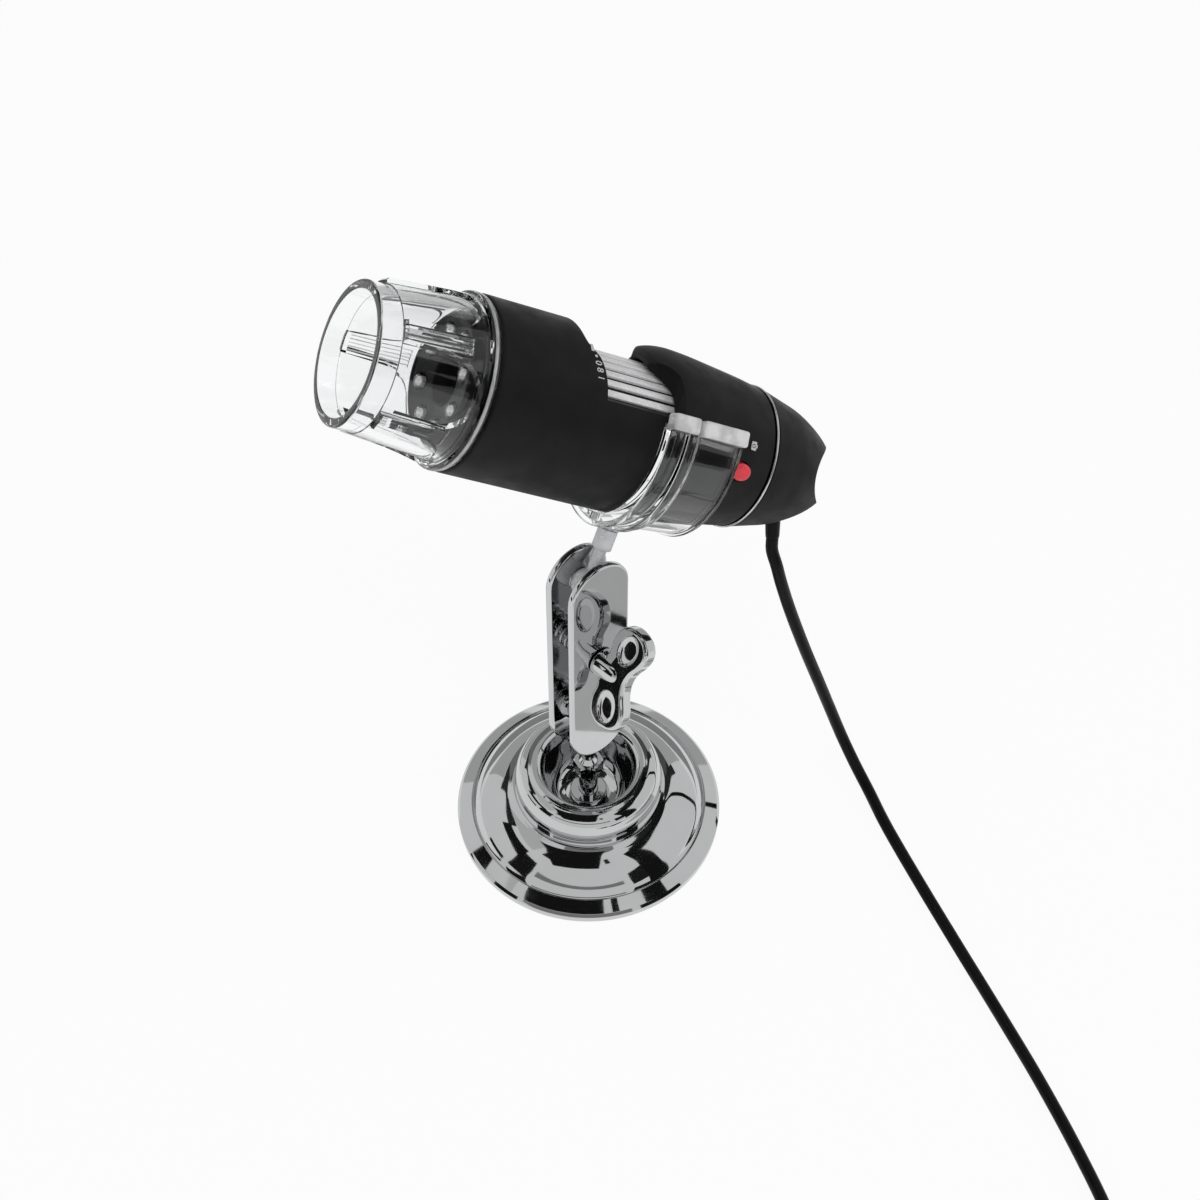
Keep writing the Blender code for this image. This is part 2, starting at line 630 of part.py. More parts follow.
def build_stem():
    neck_from = math.sqrt(BALL_R ** 2 - STEM_NECK_R ** 2)
    bore = SLEEVE_R + RUN
    top = STEM_LENGTH - bore - CRADLE_WALL - CRADLE_RIM - BOSS_OUT - GAP
    pin_top = STEM_LENGTH - bore - GAP
    outline = [(0, -BALL_R)]
    start = math.asin(STEM_NECK_R / BALL_R)
    for i in range(1, 12):
        a = (math.pi - start) * i / 12
        outline.append((BALL_R * math.sin(a), -BALL_R * math.cos(a)))
    outline += [
        (STEM_NECK_R, neck_from), (STEM_NECK_R, STEM_NECK_END), (STEM_R - STEM_EDGE, STEM_NECK_END),
        (STEM_R, STEM_NECK_END + STEM_EDGE),
        (STEM_R, top), (STEM_PIN_R, top), (STEM_PIN_R, pin_top), (0, pin_top)]
    lathe("ball_stem", outline, STEM, MILKY, STEPS_SMALL)


def build_cradle():
    bore = SLEEVE_R + RUN
    front = bore + CRADLE_WALL
    rear = front - CRADLE_TAPER
    rear_bore = bore - CRADLE_TAPER
    rib_r, bead_r = front + CRADLE_RIM, front + CRADLE_BEAD
    rim_end, rib_end, bead_end = (CRADLE_START + CRADLE_RIM_W, CRADLE_RIB_AT + CRADLE_RIB_W,
                                  CRADLE_BEAD_AT + CRADLE_BEAD_W)
    rear_rim = CRADLE_END - CRADLE_BEAD_W
    cradle = lathe("cradle", [
        (bore, CRADLE_START), (rib_r, CRADLE_START), (rib_r, rim_end), (front, rim_end),
        (front, CRADLE_RIB_AT), (rib_r, CRADLE_RIB_AT), (rib_r, rib_end), (front, rib_end),
        (front, CRADLE_BEAD_AT), (bead_r, CRADLE_BEAD_AT), (bead_r, bead_end), (front, bead_end),
        (rear, rear_rim), (rear + CRADLE_BEAD, rear_rim), (rear + CRADLE_BEAD, CRADLE_END),
        (rear_bore, CRADLE_END), (rear_bore, rear_rim), (bore, SLEEVE_END + OVERRUN)], CRADLE, CLEAR)
    reach = rib_r * 2
    wedge = [(0, 0)] + [(reach * math.cos(a), reach * math.sin(a))
                        for a in (CRADLE_OPEN * s for s in (-1, -0.5, 0, 0.5, 1))]
    boolean(cradle, slab("cradle_mouth", wedge, CRADLE_START - OVERRUN, CRADLE_END + OVERRUN, CRADLE, None))
    for side in (-1, 1):
        for start, end in ((CRADLE_START + LIP_INSET, CRADLE_BEAD_AT - LIP_NOTCH),
                           (CRADLE_BEAD_AT, CRADLE_END - LIP_INSET)):
            low = bore + GAP
            place = (Matrix.Rotation(side * CRADLE_OPEN, 4, "Z")
                     @ Matrix.Translation((low + LIP_OUT / 2, side * LIP_W / 2 * LIP_SINK_SHARE, (start + end) / 2)))
            lip = box(f"lip_{side}_{round(start / MM)}", (LIP_OUT, LIP_W, end - start), (0, 0, 0),
                      CRADLE, None, place)
            bevel(lip, LIP_EDGE)
            boolean(cradle, lip, "UNION")
    boss_from = STEM_LENGTH - rib_r - BOSS_OUT
    boss = cylinder("cradle_boss", STEM_R + BOSS_WALL, boss_from, STEM_LENGTH - bore - GAP, STEM, None)
    boolean(cradle, boss, "UNION")
    pin = cylinder("cradle_hole", STEM_PIN_R + GAP, boss_from - OVERRUN, STEM_LENGTH, STEM, None)
    boolean(cradle, pin)


def window_cutter(name, outline):
    """The focus window's opening seen from above, mirrored from an outline of (across, along)."""
    whole = outline + [(-x, z) for x, z in reversed(outline) if x > 0]
    upright = Matrix(((0, 0, 1, 0), (1, 0, 0, 0), (0, 1, 0, 0), (0, 0, 0, 1)))
    return slab(name, whole, WINDOW_LEVEL, SLEEVE_R + OVERRUN, HEAD, None, upright)


def build_sleeve():
    bore = SLEEVE_R - SLEEVE_WALL
    sleeve = lathe("front_sleeve", [
        (bore, GAP), (SLEEVE_R - SLEEVE_EDGE, GAP), (SLEEVE_R, GAP + SLEEVE_EDGE),
        (SLEEVE_R, SLEEVE_END), (bore, SLEEVE_END)], HEAD, BLACK_RUBBER)
    outline = [(SLEEVE_R * a, WINDOW_FRONT + (WINDOW_CORNER - WINDOW_FRONT) * b)
               for a, b in WINDOW_FRONT_SHARES]
    outline.append((SLEEVE_R * WINDOW_SIDE_SHARE, SLEEVE_END + OVERRUN))
    boolean(sleeve, window_cutter("window_front", outline))


def housing_radius(along):
    """Outer radius of the rear housing."""
    stations = [(HOUSING_WIDE_AT, HOUSING_R), (HOUSING_MID_AT, HOUSING_MID_R), (HOUSING_END, HOUSING_END_R)]
    for (z0, r0), (z1, r1) in zip(stations, stations[1:]):
        if along <= z1:
            return r0 + (r1 - r0) * (along - z0) / (z1 - z0)
    return HOUSING_END_R


def build_housing():
    start = SLEEVE_END + GAP
    inner = housing_radius(WINDOW_REAR + SPIGOT_L) - HOUSING_WALL
    lip = WINDOW_PEAK
    swell = HOUSING_R - HOUSING_LIP_R
    outline = [(HOUSING_BORE_R, lip), (HOUSING_LIP_R, lip)]
    for share_z, share_r in LIP_SHARES:
        outline.append((HOUSING_LIP_R + swell * share_r, lip + (HOUSING_WIDE_AT - lip) * share_z))
    outline += [
        (HOUSING_R, HOUSING_WIDE_AT), (HOUSING_MID_R, HOUSING_MID_AT), (HOUSING_END_R, HOUSING_END),
        (HOUSING_END_R - HOUSING_WALL, HOUSING_END), (HOUSING_MID_R - HOUSING_WALL, HOUSING_MID_AT),
        (inner, WINDOW_REAR + SPIGOT_L), (HOUSING_BORE_R, WINDOW_REAR + SPIGOT_L)]
    housing = lathe("rear_housing", outline, HEAD, BLACK_PLASTIC)
    below = box("below_window", (SLEEVE_R + WINDOW_LEVEL + GAP + OVERRUN, SLEEVE_R * 2 + OVERRUN, start),
                ((WINDOW_LEVEL + GAP - SLEEVE_R - OVERRUN) / 2, 0, start / 2), HEAD, None)
    boolean(housing, below)
    outline = [(SLEEVE_R * WINDOW_SIDE_SHARE, 0)]
    outline += [(SLEEVE_R * a, WINDOW_PEAK + (WINDOW_REAR - WINDOW_PEAK) * b) for a, b in WINDOW_REAR_SHARES]
    boolean(housing, window_cutter("window_rear", outline))
    pocket = slab("button_hole", ellipse(BUTTON_SHORT + RUN, BUTTON_LONG + RUN, 24),
                  -HOUSING_WALL * 2, HOUSING_WALL, BUTTON, None)
    boolean(housing, pocket)
    ring_r = HOUSING_END_R + TRIM_OUT
    ring_start = HOUSING_END + GAP
    bore = HOUSING_END_R - HOUSING_WALL
    lathe("trim_ring", [(bore, ring_start), (ring_r, ring_start), (ring_r, ring_start + TRIM_T),
                        (bore, ring_start + TRIM_T)], HEAD, CHROME)


def build_tail():
    start = HOUSING_END + GAP * 2 + TRIM_T
    length = TAIL_END - start
    outer = [(TAIL_TIP_R + (HOUSING_END_R - TAIL_TIP_R) * r, start + length * z) for r, z in TAIL_SHARES]
    inner = [(r - TAIL_WALL, z) for r, z in outer if z < TAIL_END - TAIL_WALL * 3]
    last = inner[-1]
    outline = outer + [(0, TAIL_END), (0, last[1])] + inner[::-1]
    tail = lathe("tail_cap", outline, HEAD, BLACK_PLASTIC)
    across = (Matrix.Translation((SCOOP_ASIDE, 0, TAIL_END - SCOOP_DEPTH + SCOOP_R))
              @ Matrix.Rotation(SCOOP_TURN, 4, "Z") @ Matrix.Rotation(-math.pi / 2 - SCOOP_TILT, 4, "X"))
    boolean(tail, cylinder("scoop", SCOOP_R, -SLEEVE_R, SLEEVE_R, HEAD, None, STEPS_LARGE, across))
    boolean(tail, cylinder("gland_hole", GLAND_R + GAP, -GLAND_IN - GLAND_FLANGE_T, GLAND_OUT, GLAND, None))
    lathe("cable_gland", [
        (GLAND_TIP_R, GLAND_OUT), (GLAND_R, 0), (GLAND_R, -GLAND_IN), (0, -GLAND_IN), (0, GLAND_OUT)],
        GLAND, BLACK_RUBBER, STEPS_SMALL)


def build_core():
    bore = CORE_BORE_R
    flange_r = housing_radius(CORE_FLANGE_AT) - HOUSING_WALL - GAP
    core = lathe("core_tube", [
        (bore, CORE_START), (CORE_R, CORE_START), (CORE_R, CORE_FLANGE_AT), (flange_r, CORE_FLANGE_AT),
        (flange_r, CORE_FLANGE_AT + CORE_FLANGE_T), (CORE_R, CORE_FLANGE_AT + CORE_FLANGE_T),
        (CORE_R, BOARD_AT - GAP), (bore, BOARD_AT - GAP)], HEAD, BLACK_PLASTIC, STEPS_LARGE)
    slot = box("core_slot", (CORE_R, SLOT_W, SLOT_END - SLOT_START),
               (CORE_R, 0, (SLOT_START + SLOT_END) / 2), HEAD, None)
    boolean(core, slot)
    ribs = []
    for i in range(WHEEL_RIBS):
        for share, depth in RIB_SHARES:
            a = math.tau * (i + share) / WHEEL_RIBS
            r = WHEEL_R - WHEEL_RIB * depth
            ribs.append((r * math.cos(a), r * math.sin(a)))
    wheel = slab("focus_wheel", ribs, WHEEL_START, WHEEL_END, WHEEL, SILVER)
    boolean(wheel, cylinder("wheel_bore", CORE_R + RUN, WHEEL_START - OVERRUN, WHEEL_END + OVERRUN,
                            WHEEL, None, STEPS_LARGE))
    outer = CORE_BORE_R - RUN
    end = CARRIAGE_START + CARRIAGE_L
    seat = CARRIAGE_START + LENS_SEAT + LENS_T + GAP
    carriage = lathe("lens_carriage", [
        (CARRIAGE_BORE_R, CARRIAGE_START), (outer, CARRIAGE_START), (outer, end), (CARRIAGE_STOP_R, end),
        (CARRIAGE_STOP_R, seat), (CARRIAGE_BORE_R, seat)], CARRIAGE, BLACK_PLASTIC, STEPS_SMALL)
    pin_reach = CORE_R + RUN - GAP
    pin = cylinder("carriage_pin", SLOT_W / 2 - GAP, CARRIAGE_BORE_R, pin_reach, CARRIAGE, None, 12,
                   Matrix.Translation((0, 0, CARRIAGE_PIN_AT)) @ Matrix.Rotation(math.pi / 2, 4, "Y"))
    boolean(carriage, pin, "UNION")
    lens = lathe("objective_lens", [
        (0, CARRIAGE_START + LENS_SEAT - LENS_T * LENS_BULGE_SHARE),
        (LENS_R * LENS_MID_SHARE, CARRIAGE_START + LENS_SEAT - LENS_T * LENS_BULGE_SHARE * LENS_MID_SHARE),
        (LENS_R, CARRIAGE_START + LENS_SEAT), (LENS_R, CARRIAGE_START + LENS_SEAT + LENS_T),
        (0, CARRIAGE_START + LENS_SEAT + LENS_T)], CARRIAGE, GLASS, STEPS_SMALL)
    lens.location = (0, 0, 0)


def build_electronics():
    board_r = housing_radius(BOARD_AT) - HOUSING_WALL - GAP * 2
    board = cylinder("sensor_board", board_r, BOARD_AT, BOARD_AT + BOARD_T, HEAD, GREEN, STEPS_LARGE)
    post = cylinder("sensor_post", SENSOR_STAND_R, BOARD_AT - SENSOR_STAND_T, BOARD_AT + GAP, HEAD, None)
    boolean(board, post, "UNION")
    chip_top = BOARD_AT - SENSOR_STAND_T - GAP
    box("image_sensor", (SENSOR_W, SENSOR_W, SENSOR_T), (0, 0, chip_top - SENSOR_T / 2), HEAD, GLASS)


def build_lamps():
    holder = lathe("lamp_holder", [
        (LAMP_BORE_R, LAMP_HOLDER_FRONT + LAMP_FACE_DISH), (LAMP_HOLDER_R, LAMP_HOLDER_FRONT),
        (LAMP_HOLDER_R, LAMP_HOLDER_END), (LAMP_BORE_R, LAMP_HOLDER_END)], HEAD, BLACK_PLASTIC)
    face = LAMP_HOLDER_FRONT + LAMP_FACE_DISH * LAMP_FACE_SHARE
    for i in range(LAMP_COUNT):
        angle = math.tau * (i + 0.5) / LAMP_COUNT
        place = Matrix.Translation(around(angle, LAMP_RING_R, face))
        hole = cylinder(f"lamp_hole_{i + 1}", LAMP_R + GAP, -OVERRUN * 2, LAMP_DEEP + GAP, HEAD, None, 12, place)
        boolean(holder, hole)
        lathe(f"lamp_{i + 1}", [
            (0, -LAMP_OUT), (LAMP_R * DOME_LAMP_SHARE, -LAMP_OUT * DOME_LAMP_SHARE), (LAMP_R, 0),
            (LAMP_R, LAMP_DEEP), (0, LAMP_DEEP)], HEAD, LAMP, 10, place)


def build_hood():
    spigot_r = SLEEVE_R - SLEEVE_WALL - GAP
    hood = lathe("nose_hood", [
        (HOOD_FRONT_BORE_R, HOOD_FRONT), (HOOD_FRONT_R - GAP, HOOD_FRONT), (HOOD_FRONT_R, HOOD_FRONT + GAP),
        (HOOD_FRONT_R, HOOD_RING_END), (HOOD_BODY_R - HOOD_STEP, HOOD_RING_END),
        (HOOD_BODY_R, HOOD_RING_END + HOOD_STEP), (HOOD_REAR_R, -HOOD_FLANGE_T - HOOD_STEP),
        (HOOD_FLANGE_R, -HOOD_FLANGE_T), (HOOD_FLANGE_R, 0), (spigot_r, 0), (spigot_r, HOOD_SPIGOT_L),
        (spigot_r - HOOD_SPIGOT_T, HOOD_SPIGOT_L), (spigot_r - HOOD_SPIGOT_T, -HOOD_FLANGE_T),
        (HOOD_BORE_R, LAMP_HOLDER_FRONT - OVERRUN), (HOOD_FRONT_BORE_R, HOOD_RING_END)], HOOD, CLEAR)
    front = HOOD_RING_END - OVERRUN
    length = POCKET_REAR - front
    slope = math.atan((HOOD_REAR_R - HOOD_BODY_R) / (-HOOD_FLANGE_T - HOOD_RING_END))
    middle = (front + POCKET_REAR) / 2
    floor = (HOOD_BODY_R + HOOD_REAR_R) / 2 - POCKET_DEPTH
    half = [(POCKET_HALF_W * a, length * (b - 0.5)) for a, b in POCKET_SHARES]
    outline = half + [(-x, z) for x, z in reversed(half) if x > 0]
    stand = Matrix(((0, 0, 1, 0), (1, 0, 0, 0), (0, 1, 0, 0), (0, 0, 0, 1)))
    for i in range(POCKETS):
        place = (Matrix.Rotation(POCKET_PHASE + math.tau * i / POCKETS, 4, "Z")
                 @ Matrix.Translation((floor, 0, middle)) @ Matrix.Rotation(slope, 4, "Y") @ stand)
        boolean(hood, slab(f"pocket_{i + 1}", outline, 0, SLEEVE_WALL * 2, HOOD, None, place))


def build_button():
    top = BUTTON_OUT
    body = slab("snap_button", ellipse(BUTTON_SHORT, BUTTON_LONG, 24), top - BUTTON_T, top, BUTTON, RED)
    bevel(body, BUTTON_OUT / 2)
    rim = slab("button_skirt", ellipse(BUTTON_SHORT + SKIRT_OUT, BUTTON_LONG + SKIRT_OUT, 24),
               top - BUTTON_T, top - BUTTON_T + SKIRT_T, BUTTON, None)
    boolean(body, rim, "UNION")
    foot = top - BUTTON_T - BUTTON_TRAVEL - GAP
    near, far = BOARD_AT + BOARD_T + GAP - BUTTON_AT, SWITCH_W / 2
    box("button_switch", (far - near, SWITCH_W, SWITCH_T), ((near + far) / 2, 0, foot - SWITCH_T / 2),
        SWITCH, BLACK_PLASTIC)


def coil_points():
    """One cord wound inward on the table and outward again on top of itself, clockwise."""
    outer = COIL_MID_R + COIL_RAMP * COIL_PITCH / 2
    low = COIL_LIFT + CORD_R
    total = COIL_RAMP * 2 + 0.5
    reverse = total / 2
    count = round(total * 24)
    start = COIL_CENTRE + Vector((outer, 0, low))
    points = [start + Vector((0, CORD_R * 4, 0)), start + Vector((0, CORD_R * 2, 0))]
    for i in range(count + 1):
        turns = total * i / count
        radius = outer - COIL_PITCH * (reverse - abs(turns - reverse))
        climb = min(1.0, max(0.0, (turns - COIL_RAMP) * 2))
        a = -math.tau * turns
        points.append(COIL_CENTRE + Vector((radius * math.cos(a), radius * math.sin(a),
                                            low + COIL_PITCH * climb)))
    end = points[-1]
    axis_z = PLUG_BODY.z / 2
    plug = Vector((end.x - PLUG_LEAD, end.y, axis_z))
    points += [end + Vector((-PLUG_LEAD / 3, 0, 0)), plug + Vector((CORD_R * 2, 0, 0)), plug]
    return points, plug


def least_gap(points, radius, apart):
    """Smallest clear distance of a tube to itself, between points more than `apart` places apart."""
    best = 1.0
    for i, a in enumerate(points):
        for b in points[i + apart:]:
            best = min(best, (a - b).length - 2 * radius)
    return best


def build_cord():
    tip = GLAND.matrix_world @ Vector((0, 0, GLAND_OUT))
    out = (GLAND.matrix_world.to_3x3() @ Vector((0, 0, 1))).normalized()
    first = tip + out * GAP
    coil, plug = coil_points()
    last = coil[0] + (coil[0] - coil[1]).normalized() * GAP
    straight = CORD_R * 2
    route = [first, first + out * straight]
    route += [Vector(p) * MM for p in CORD_ROUTE]
    route += [last + (coil[0] - coil[1]).normalized() * straight, last]
    points, run_length = smooth_route(route, CORD_STEP)
    points.insert(1, route[1])
    points.insert(-1, route[-2])
    tube("cable_run", points, CORD_R, FOOT, BLACK_CORD, 2)
    tube("cable_coil", coil, CORD_R, FOOT, BLACK_CORD, 1)
    wound = sum((b - a).length for a, b in zip(coil, coil[1:]))
    fine = [a.lerp(b, t / 3) for a, b in zip(coil, coil[1:]) for t in range(3)]
    print("cord run %.1f mm, coil %.1f mm" % (run_length / MM, wound / MM))
    print("coil's least gap to itself %.2f mm" % (least_gap(fine, CORD_R, 24) / MM))
    build_tie()
    build_plug(plug)


def build_tie():
    outer = COIL_MID_R + COIL_RAMP * COIL_PITCH / 2 + CORD_R + GAP * 2
    inner = COIL_MID_R - (COIL_RAMP / 2 + 0.25) * COIL_PITCH - CORD_R - GAP * 2
    top = COIL_LIFT + CORD_R * 2 + COIL_PITCH + GAP
    low = COIL_LIFT - GAP
    upright = (Matrix.Translation(COIL_CENTRE) @ Matrix.Rotation(TIE_ANGLE, 4, "Z")
               @ Matrix(((1, 0, 0, 0), (0, 0, -1, 0), (0, 1, 0, 0), (0, 0, 0, 1))))
    ring = [(inner - TIE_T, low - TIE_T), (outer + TIE_T, low - TIE_T),
            (outer + TIE_T, top + TIE_T), (inner - TIE_T, top + TIE_T)]
    hole = [(inner, low), (outer, low), (outer, top), (inner, top)]
    tie = slab("cable_tie", ring, -TIE_W / 2, TIE_W / 2, FOOT, BLACK_CORD, upright)
    boolean(tie, slab("tie_hole", hole, -TIE_W, TIE_W, FOOT, None, upright))


def build_plug(start):
    """The plug lies flat on the table, pointing along -X from the cord's end."""
    relief_from = start.x - GAP
    body_from = relief_from - PLUG_RELIEF_L
    centre = Vector((body_from - PLUG_BODY.x / 2, start.y, start.z))
    body = box("plug_body", PLUG_BODY, (0, 0, 0), FOOT, BLACK_PLASTIC, Matrix.Translation(centre))
    bevel(body, PLUG_EDGE, 2)
    pointing = Matrix.Translation((relief_from, start.y, start.z)) @ Matrix.Rotation(-math.pi / 2, 4, "Y")
    boolean(body, cylinder("plug_relief", PLUG_RELIEF_R * RELIEF_TIP_SHARE, 0, PLUG_RELIEF_L + OVERRUN,
                           FOOT, None, STEPS_SMALL, pointing, PLUG_RELIEF_R), "UNION")
    front = body_from - PLUG_BODY.x
    shell_x = front + PLUG_SHELL_IN - PLUG_SHELL.x / 2
    seat = PLUG_SHELL + Vector((GAP, GAP, GAP)) * 2
    boolean(body, box("plug_seat", seat, (shell_x, start.y, start.z), FOOT, None))
    shell = box("plug_shell", PLUG_SHELL, (shell_x, start.y, start.z), FOOT, STEEL)
    wall = Vector((0, PLUG_SHELL_T, PLUG_SHELL_T)) * 2
    boolean(shell, box("shell_bore", PLUG_SHELL - wall, (shell_x - PLUG_SHELL_T, start.y, start.z), FOOT, None))
    for side in (-1, 1):
        for across in (-1, 1):
            spot = (front - PLUG_SHELL.x * HOLE_ALONG_SHARE, start.y + across * PLUG_SHELL.y * HOLE_ACROSS_SHARE,
                    start.z + side * PLUG_SHELL.z / 2)
            boolean(shell, box(f"latch_{side}_{across}", (PLUG_HOLE, PLUG_HOLE, PLUG_HOLE / 2), spot, FOOT, None))
    tongue = PLUG_SHELL - wall - Vector((PLUG_SHELL_T * 4, GAP * 2, 0))
    inner_top = PLUG_SHELL.z / 2 - PLUG_SHELL_T - GAP
    box("plug_tongue", (tongue.x, tongue.y, PLUG_TONGUE_T),
        (shell_x, start.y, start.z + inner_top - PLUG_TONGUE_T / 2), FOOT, MILKY)


# Shares, chosen by hand, of the sizes that they follow
DOME_SHARES = [(0.80, 0.29), (0.48, 0.68), (0.20, 0.91)]
COLLAR_SHARES = [(1.0, 0.0), (0.95, 0.36), (0.70, 0.76), (0.12, 1.0)]
CUP_SHARES = [(1.0, 0.95), (0.94, 0.62), (0.70, 0.26), (0.0, 0.0)]
WING_SHARES = [(0.0, 0.0), (0.26, 0.0), (0.36, 0.05), (0.62, 0.02), (0.86, 0.12), (0.98, 0.32), (1.0, 0.55),
               (0.94, 0.80), (0.80, 0.96), (0.62, 1.0), (0.42, 0.92), (0.22, 0.78), (0.0, 0.74)]
POCKET_SHARES = [(0.0, 0.0), (1.0, 0.0), (1.0, 0.55), (0.93, 0.76), (0.75, 0.90), (0.45, 0.98), (0.0, 1.0)]
WINDOW_FRONT_SHARES = [(0.0, 0.0), (0.42, 0.05), (0.52, 0.34), (0.60, 0.66), (0.78, 0.86), (1.05, 1.0)]
WINDOW_REAR_SHARES = [(1.05, 1.04), (0.62, 1.0), (0.50, 0.90), (0.38, 0.50), (0.26, 0.10), (0.14, -0.10),
                      (0.0, -0.14)]
WINDOW_SIDE_SHARE = 1.05
LIP_SHARES = [(0.16, 0.50), (0.36, 0.78), (0.64, 0.95)]
TAIL_SHARES = [(1.0, 0.0), (0.87, 0.26), (0.78, 0.43), (0.64, 0.60), (0.44, 0.78), (0.22, 0.92), (0.0, 1.0)]
RIB_SHARES = [(0.0, 0.0), (0.52, 0.0), (0.76, 1.0)]
HEAD_SIDE_SHARE = 0.5
HEAD_TOP_SHARE = 0.6
HUB_TIP_SHARE = 0.86
OVAL_REACH_SHARE = 0.50
OVAL_TILT = math.radians(12)
LENS_BULGE_SHARE = 0.45
LENS_MID_SHARE = 0.6
LAMP_FACE_SHARE = 0.45
DOME_LAMP_SHARE = 0.72
LIP_SINK_SHARE = -0.38
RELIEF_TIP_SHARE = 0.72
HOLE_ALONG_SHARE = 0.28
HOLE_ACROSS_SHARE = 0.22

clear_scene()
PARTS = collection("usb_digital_microscope")
CUTTERS = collection("cutters")

CHROME = material("chrome", (0.80, 0.81, 0.83), 0.06, 1.0)
STEEL = material("steel", (0.62, 0.62, 0.63), 0.3, 1.0)
SILVER = material("silver_wheel", (0.72, 0.72, 0.72), 0.28, 0.9)
RUBBER = material("pad_rubber", (0.03, 0.03, 0.03), 0.9)
BLACK_RUBBER = material("sleeve_rubber", (0.012, 0.012, 0.013), 0.62)
BLACK_PLASTIC = material("housing_plastic", (0.018, 0.018, 0.02), 0.42)
BLACK_CORD = material("cord_black", (0.015, 0.015, 0.015), 0.45)
CLEAR = material("clear_plastic", (0.95, 0.96, 0.97), 0.03, 0.0, 1.0)
MILKY = material("milky_plastic", (0.90, 0.91, 0.92), 0.25, 0.0, 0.4)
GLASS = material("lens_glass", (0.85, 0.88, 0.95), 0.02, 0.0, 1.0)
LAMP = material("lamp_lens", (0.95, 0.95, 0.90), 0.1, 0.0, 0.5)
RED = material("button_red", (0.75, 0.03, 0.04), 0.35)
GREEN = material("board_green", (0.03, 0.16, 0.06), 0.5)

FOOT = empty("foot_frame", Matrix.Identity(4))
STUD = empty("stud_axis", Matrix.Identity(4), FOOT)
ARM = empty("arm_axis", axes(PLATE_NORMAL, ARM_DIR, LOWER_BALL), STUD)
wing_up = ARM_DIR * math.cos(WING_TURN) + ARM_DIR.cross(PLATE_NORMAL) * math.sin(WING_TURN)
WING = empty("wing_axis", axes(wing_up, PLATE_NORMAL, LOWER_BALL + ARM_DIR * (ARM_LENGTH / 2 + SCREW_RISE)), ARM)
STEM = empty("stem_axis", axes(NOSE_DIR, STEM_DIR, UPPER_BALL), ARM)
CRADLE = empty("cradle_axis", axes(STEM_DIR, -NOSE_DIR, SLEEVE_FRONT), STEM)
HEAD = empty("barrel_axis", axes(STEM_DIR, -NOSE_DIR, SLEEVE_FRONT), CRADLE)
WHEEL = empty("wheel_axis", HEAD.matrix_world, HEAD)
CARRIAGE = empty("carriage_axis", HEAD.matrix_world, HEAD)
HOOD = empty("hood_axis", HEAD.matrix_world, HEAD)
button_out = around(BUTTON_ANGLE, 1.0, 0.0)
button_place = axes(Vector((0, 0, 1)), button_out, around(BUTTON_ANGLE, housing_radius(BUTTON_AT), BUTTON_AT))
BUTTON = empty("button_axis", HEAD.matrix_world @ button_place, HEAD)
SWITCH = empty("switch_place", HEAD.matrix_world @ button_place, HEAD)
gland_out = Vector((-math.cos(GLAND_SLANT), 0, math.sin(GLAND_SLANT)))
tail_start = HOUSING_END + GAP * 2 + TRIM_T
gland_share = (GLAND_AT - tail_start) / (TAIL_END - tail_start)
gland_r = next(TAIL_TIP_R + (HOUSING_END_R - TAIL_TIP_R) * (a[0] + (b[0] - a[0]) * (gland_share - a[1]) / (b[1] - a[1]))
               for a, b in zip(TAIL_SHARES, TAIL_SHARES[1:]) if b[1] >= gland_share)
GLAND = empty("gland_axis", HEAD.matrix_world @ axes(Vector((0, 1, 0)), gland_out,
                                                     Vector((-gland_r, 0, GLAND_AT))), HEAD)

build_foot()
build_stud()
build_arm()
build_wing_nut()
build_stem()
build_cradle()
build_sleeve()
build_housing()
build_tail()
build_core()
build_electronics()
build_lamps()
build_hood()
build_button()
build_cord()
bpy.context.view_layer.update()
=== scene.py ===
"""Looks for a hand-held USB microscope on a chrome ball-joint stand.

The packed CAD model is the fixed frame.  Each operator makes one piece or group of like pieces over it,
with its finish, and the stage's operator makes the floor, the lights and the camera.
Lengths in outlines are in millimetres, and MM turns them into metres.
"""
import math

import bmesh
import bpy
from bpy.props import FloatProperty, FloatVectorProperty, IntProperty, PointerProperty
from bpy.types import Operator, Panel, PropertyGroup
from mathutils import Matrix, Vector


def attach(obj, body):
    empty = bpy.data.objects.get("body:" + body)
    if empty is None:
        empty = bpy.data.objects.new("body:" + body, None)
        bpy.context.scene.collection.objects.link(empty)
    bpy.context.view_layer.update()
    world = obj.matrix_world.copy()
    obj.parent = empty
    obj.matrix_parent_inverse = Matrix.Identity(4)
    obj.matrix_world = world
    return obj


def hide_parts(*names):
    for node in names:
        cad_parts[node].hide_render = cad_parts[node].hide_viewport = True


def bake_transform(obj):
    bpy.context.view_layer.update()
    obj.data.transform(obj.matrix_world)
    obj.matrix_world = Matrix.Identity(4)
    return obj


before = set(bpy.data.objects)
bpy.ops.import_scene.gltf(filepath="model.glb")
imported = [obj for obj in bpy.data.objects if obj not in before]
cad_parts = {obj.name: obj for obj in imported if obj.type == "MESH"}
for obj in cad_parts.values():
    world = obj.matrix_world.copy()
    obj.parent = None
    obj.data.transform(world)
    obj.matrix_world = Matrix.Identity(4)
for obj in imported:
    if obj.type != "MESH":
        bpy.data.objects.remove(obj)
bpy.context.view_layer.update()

bl_info = {
    "name": "USB microscope looks",
    "version": (1, 0, 0),
    "blender": (4, 5, 0),
    "location": "View3D > Sidebar > Microscope",
    "description": "Builds the visible pieces and finishes of a USB microscope over its CAD frame",
    "category": "Object",
}

MM = 0.001

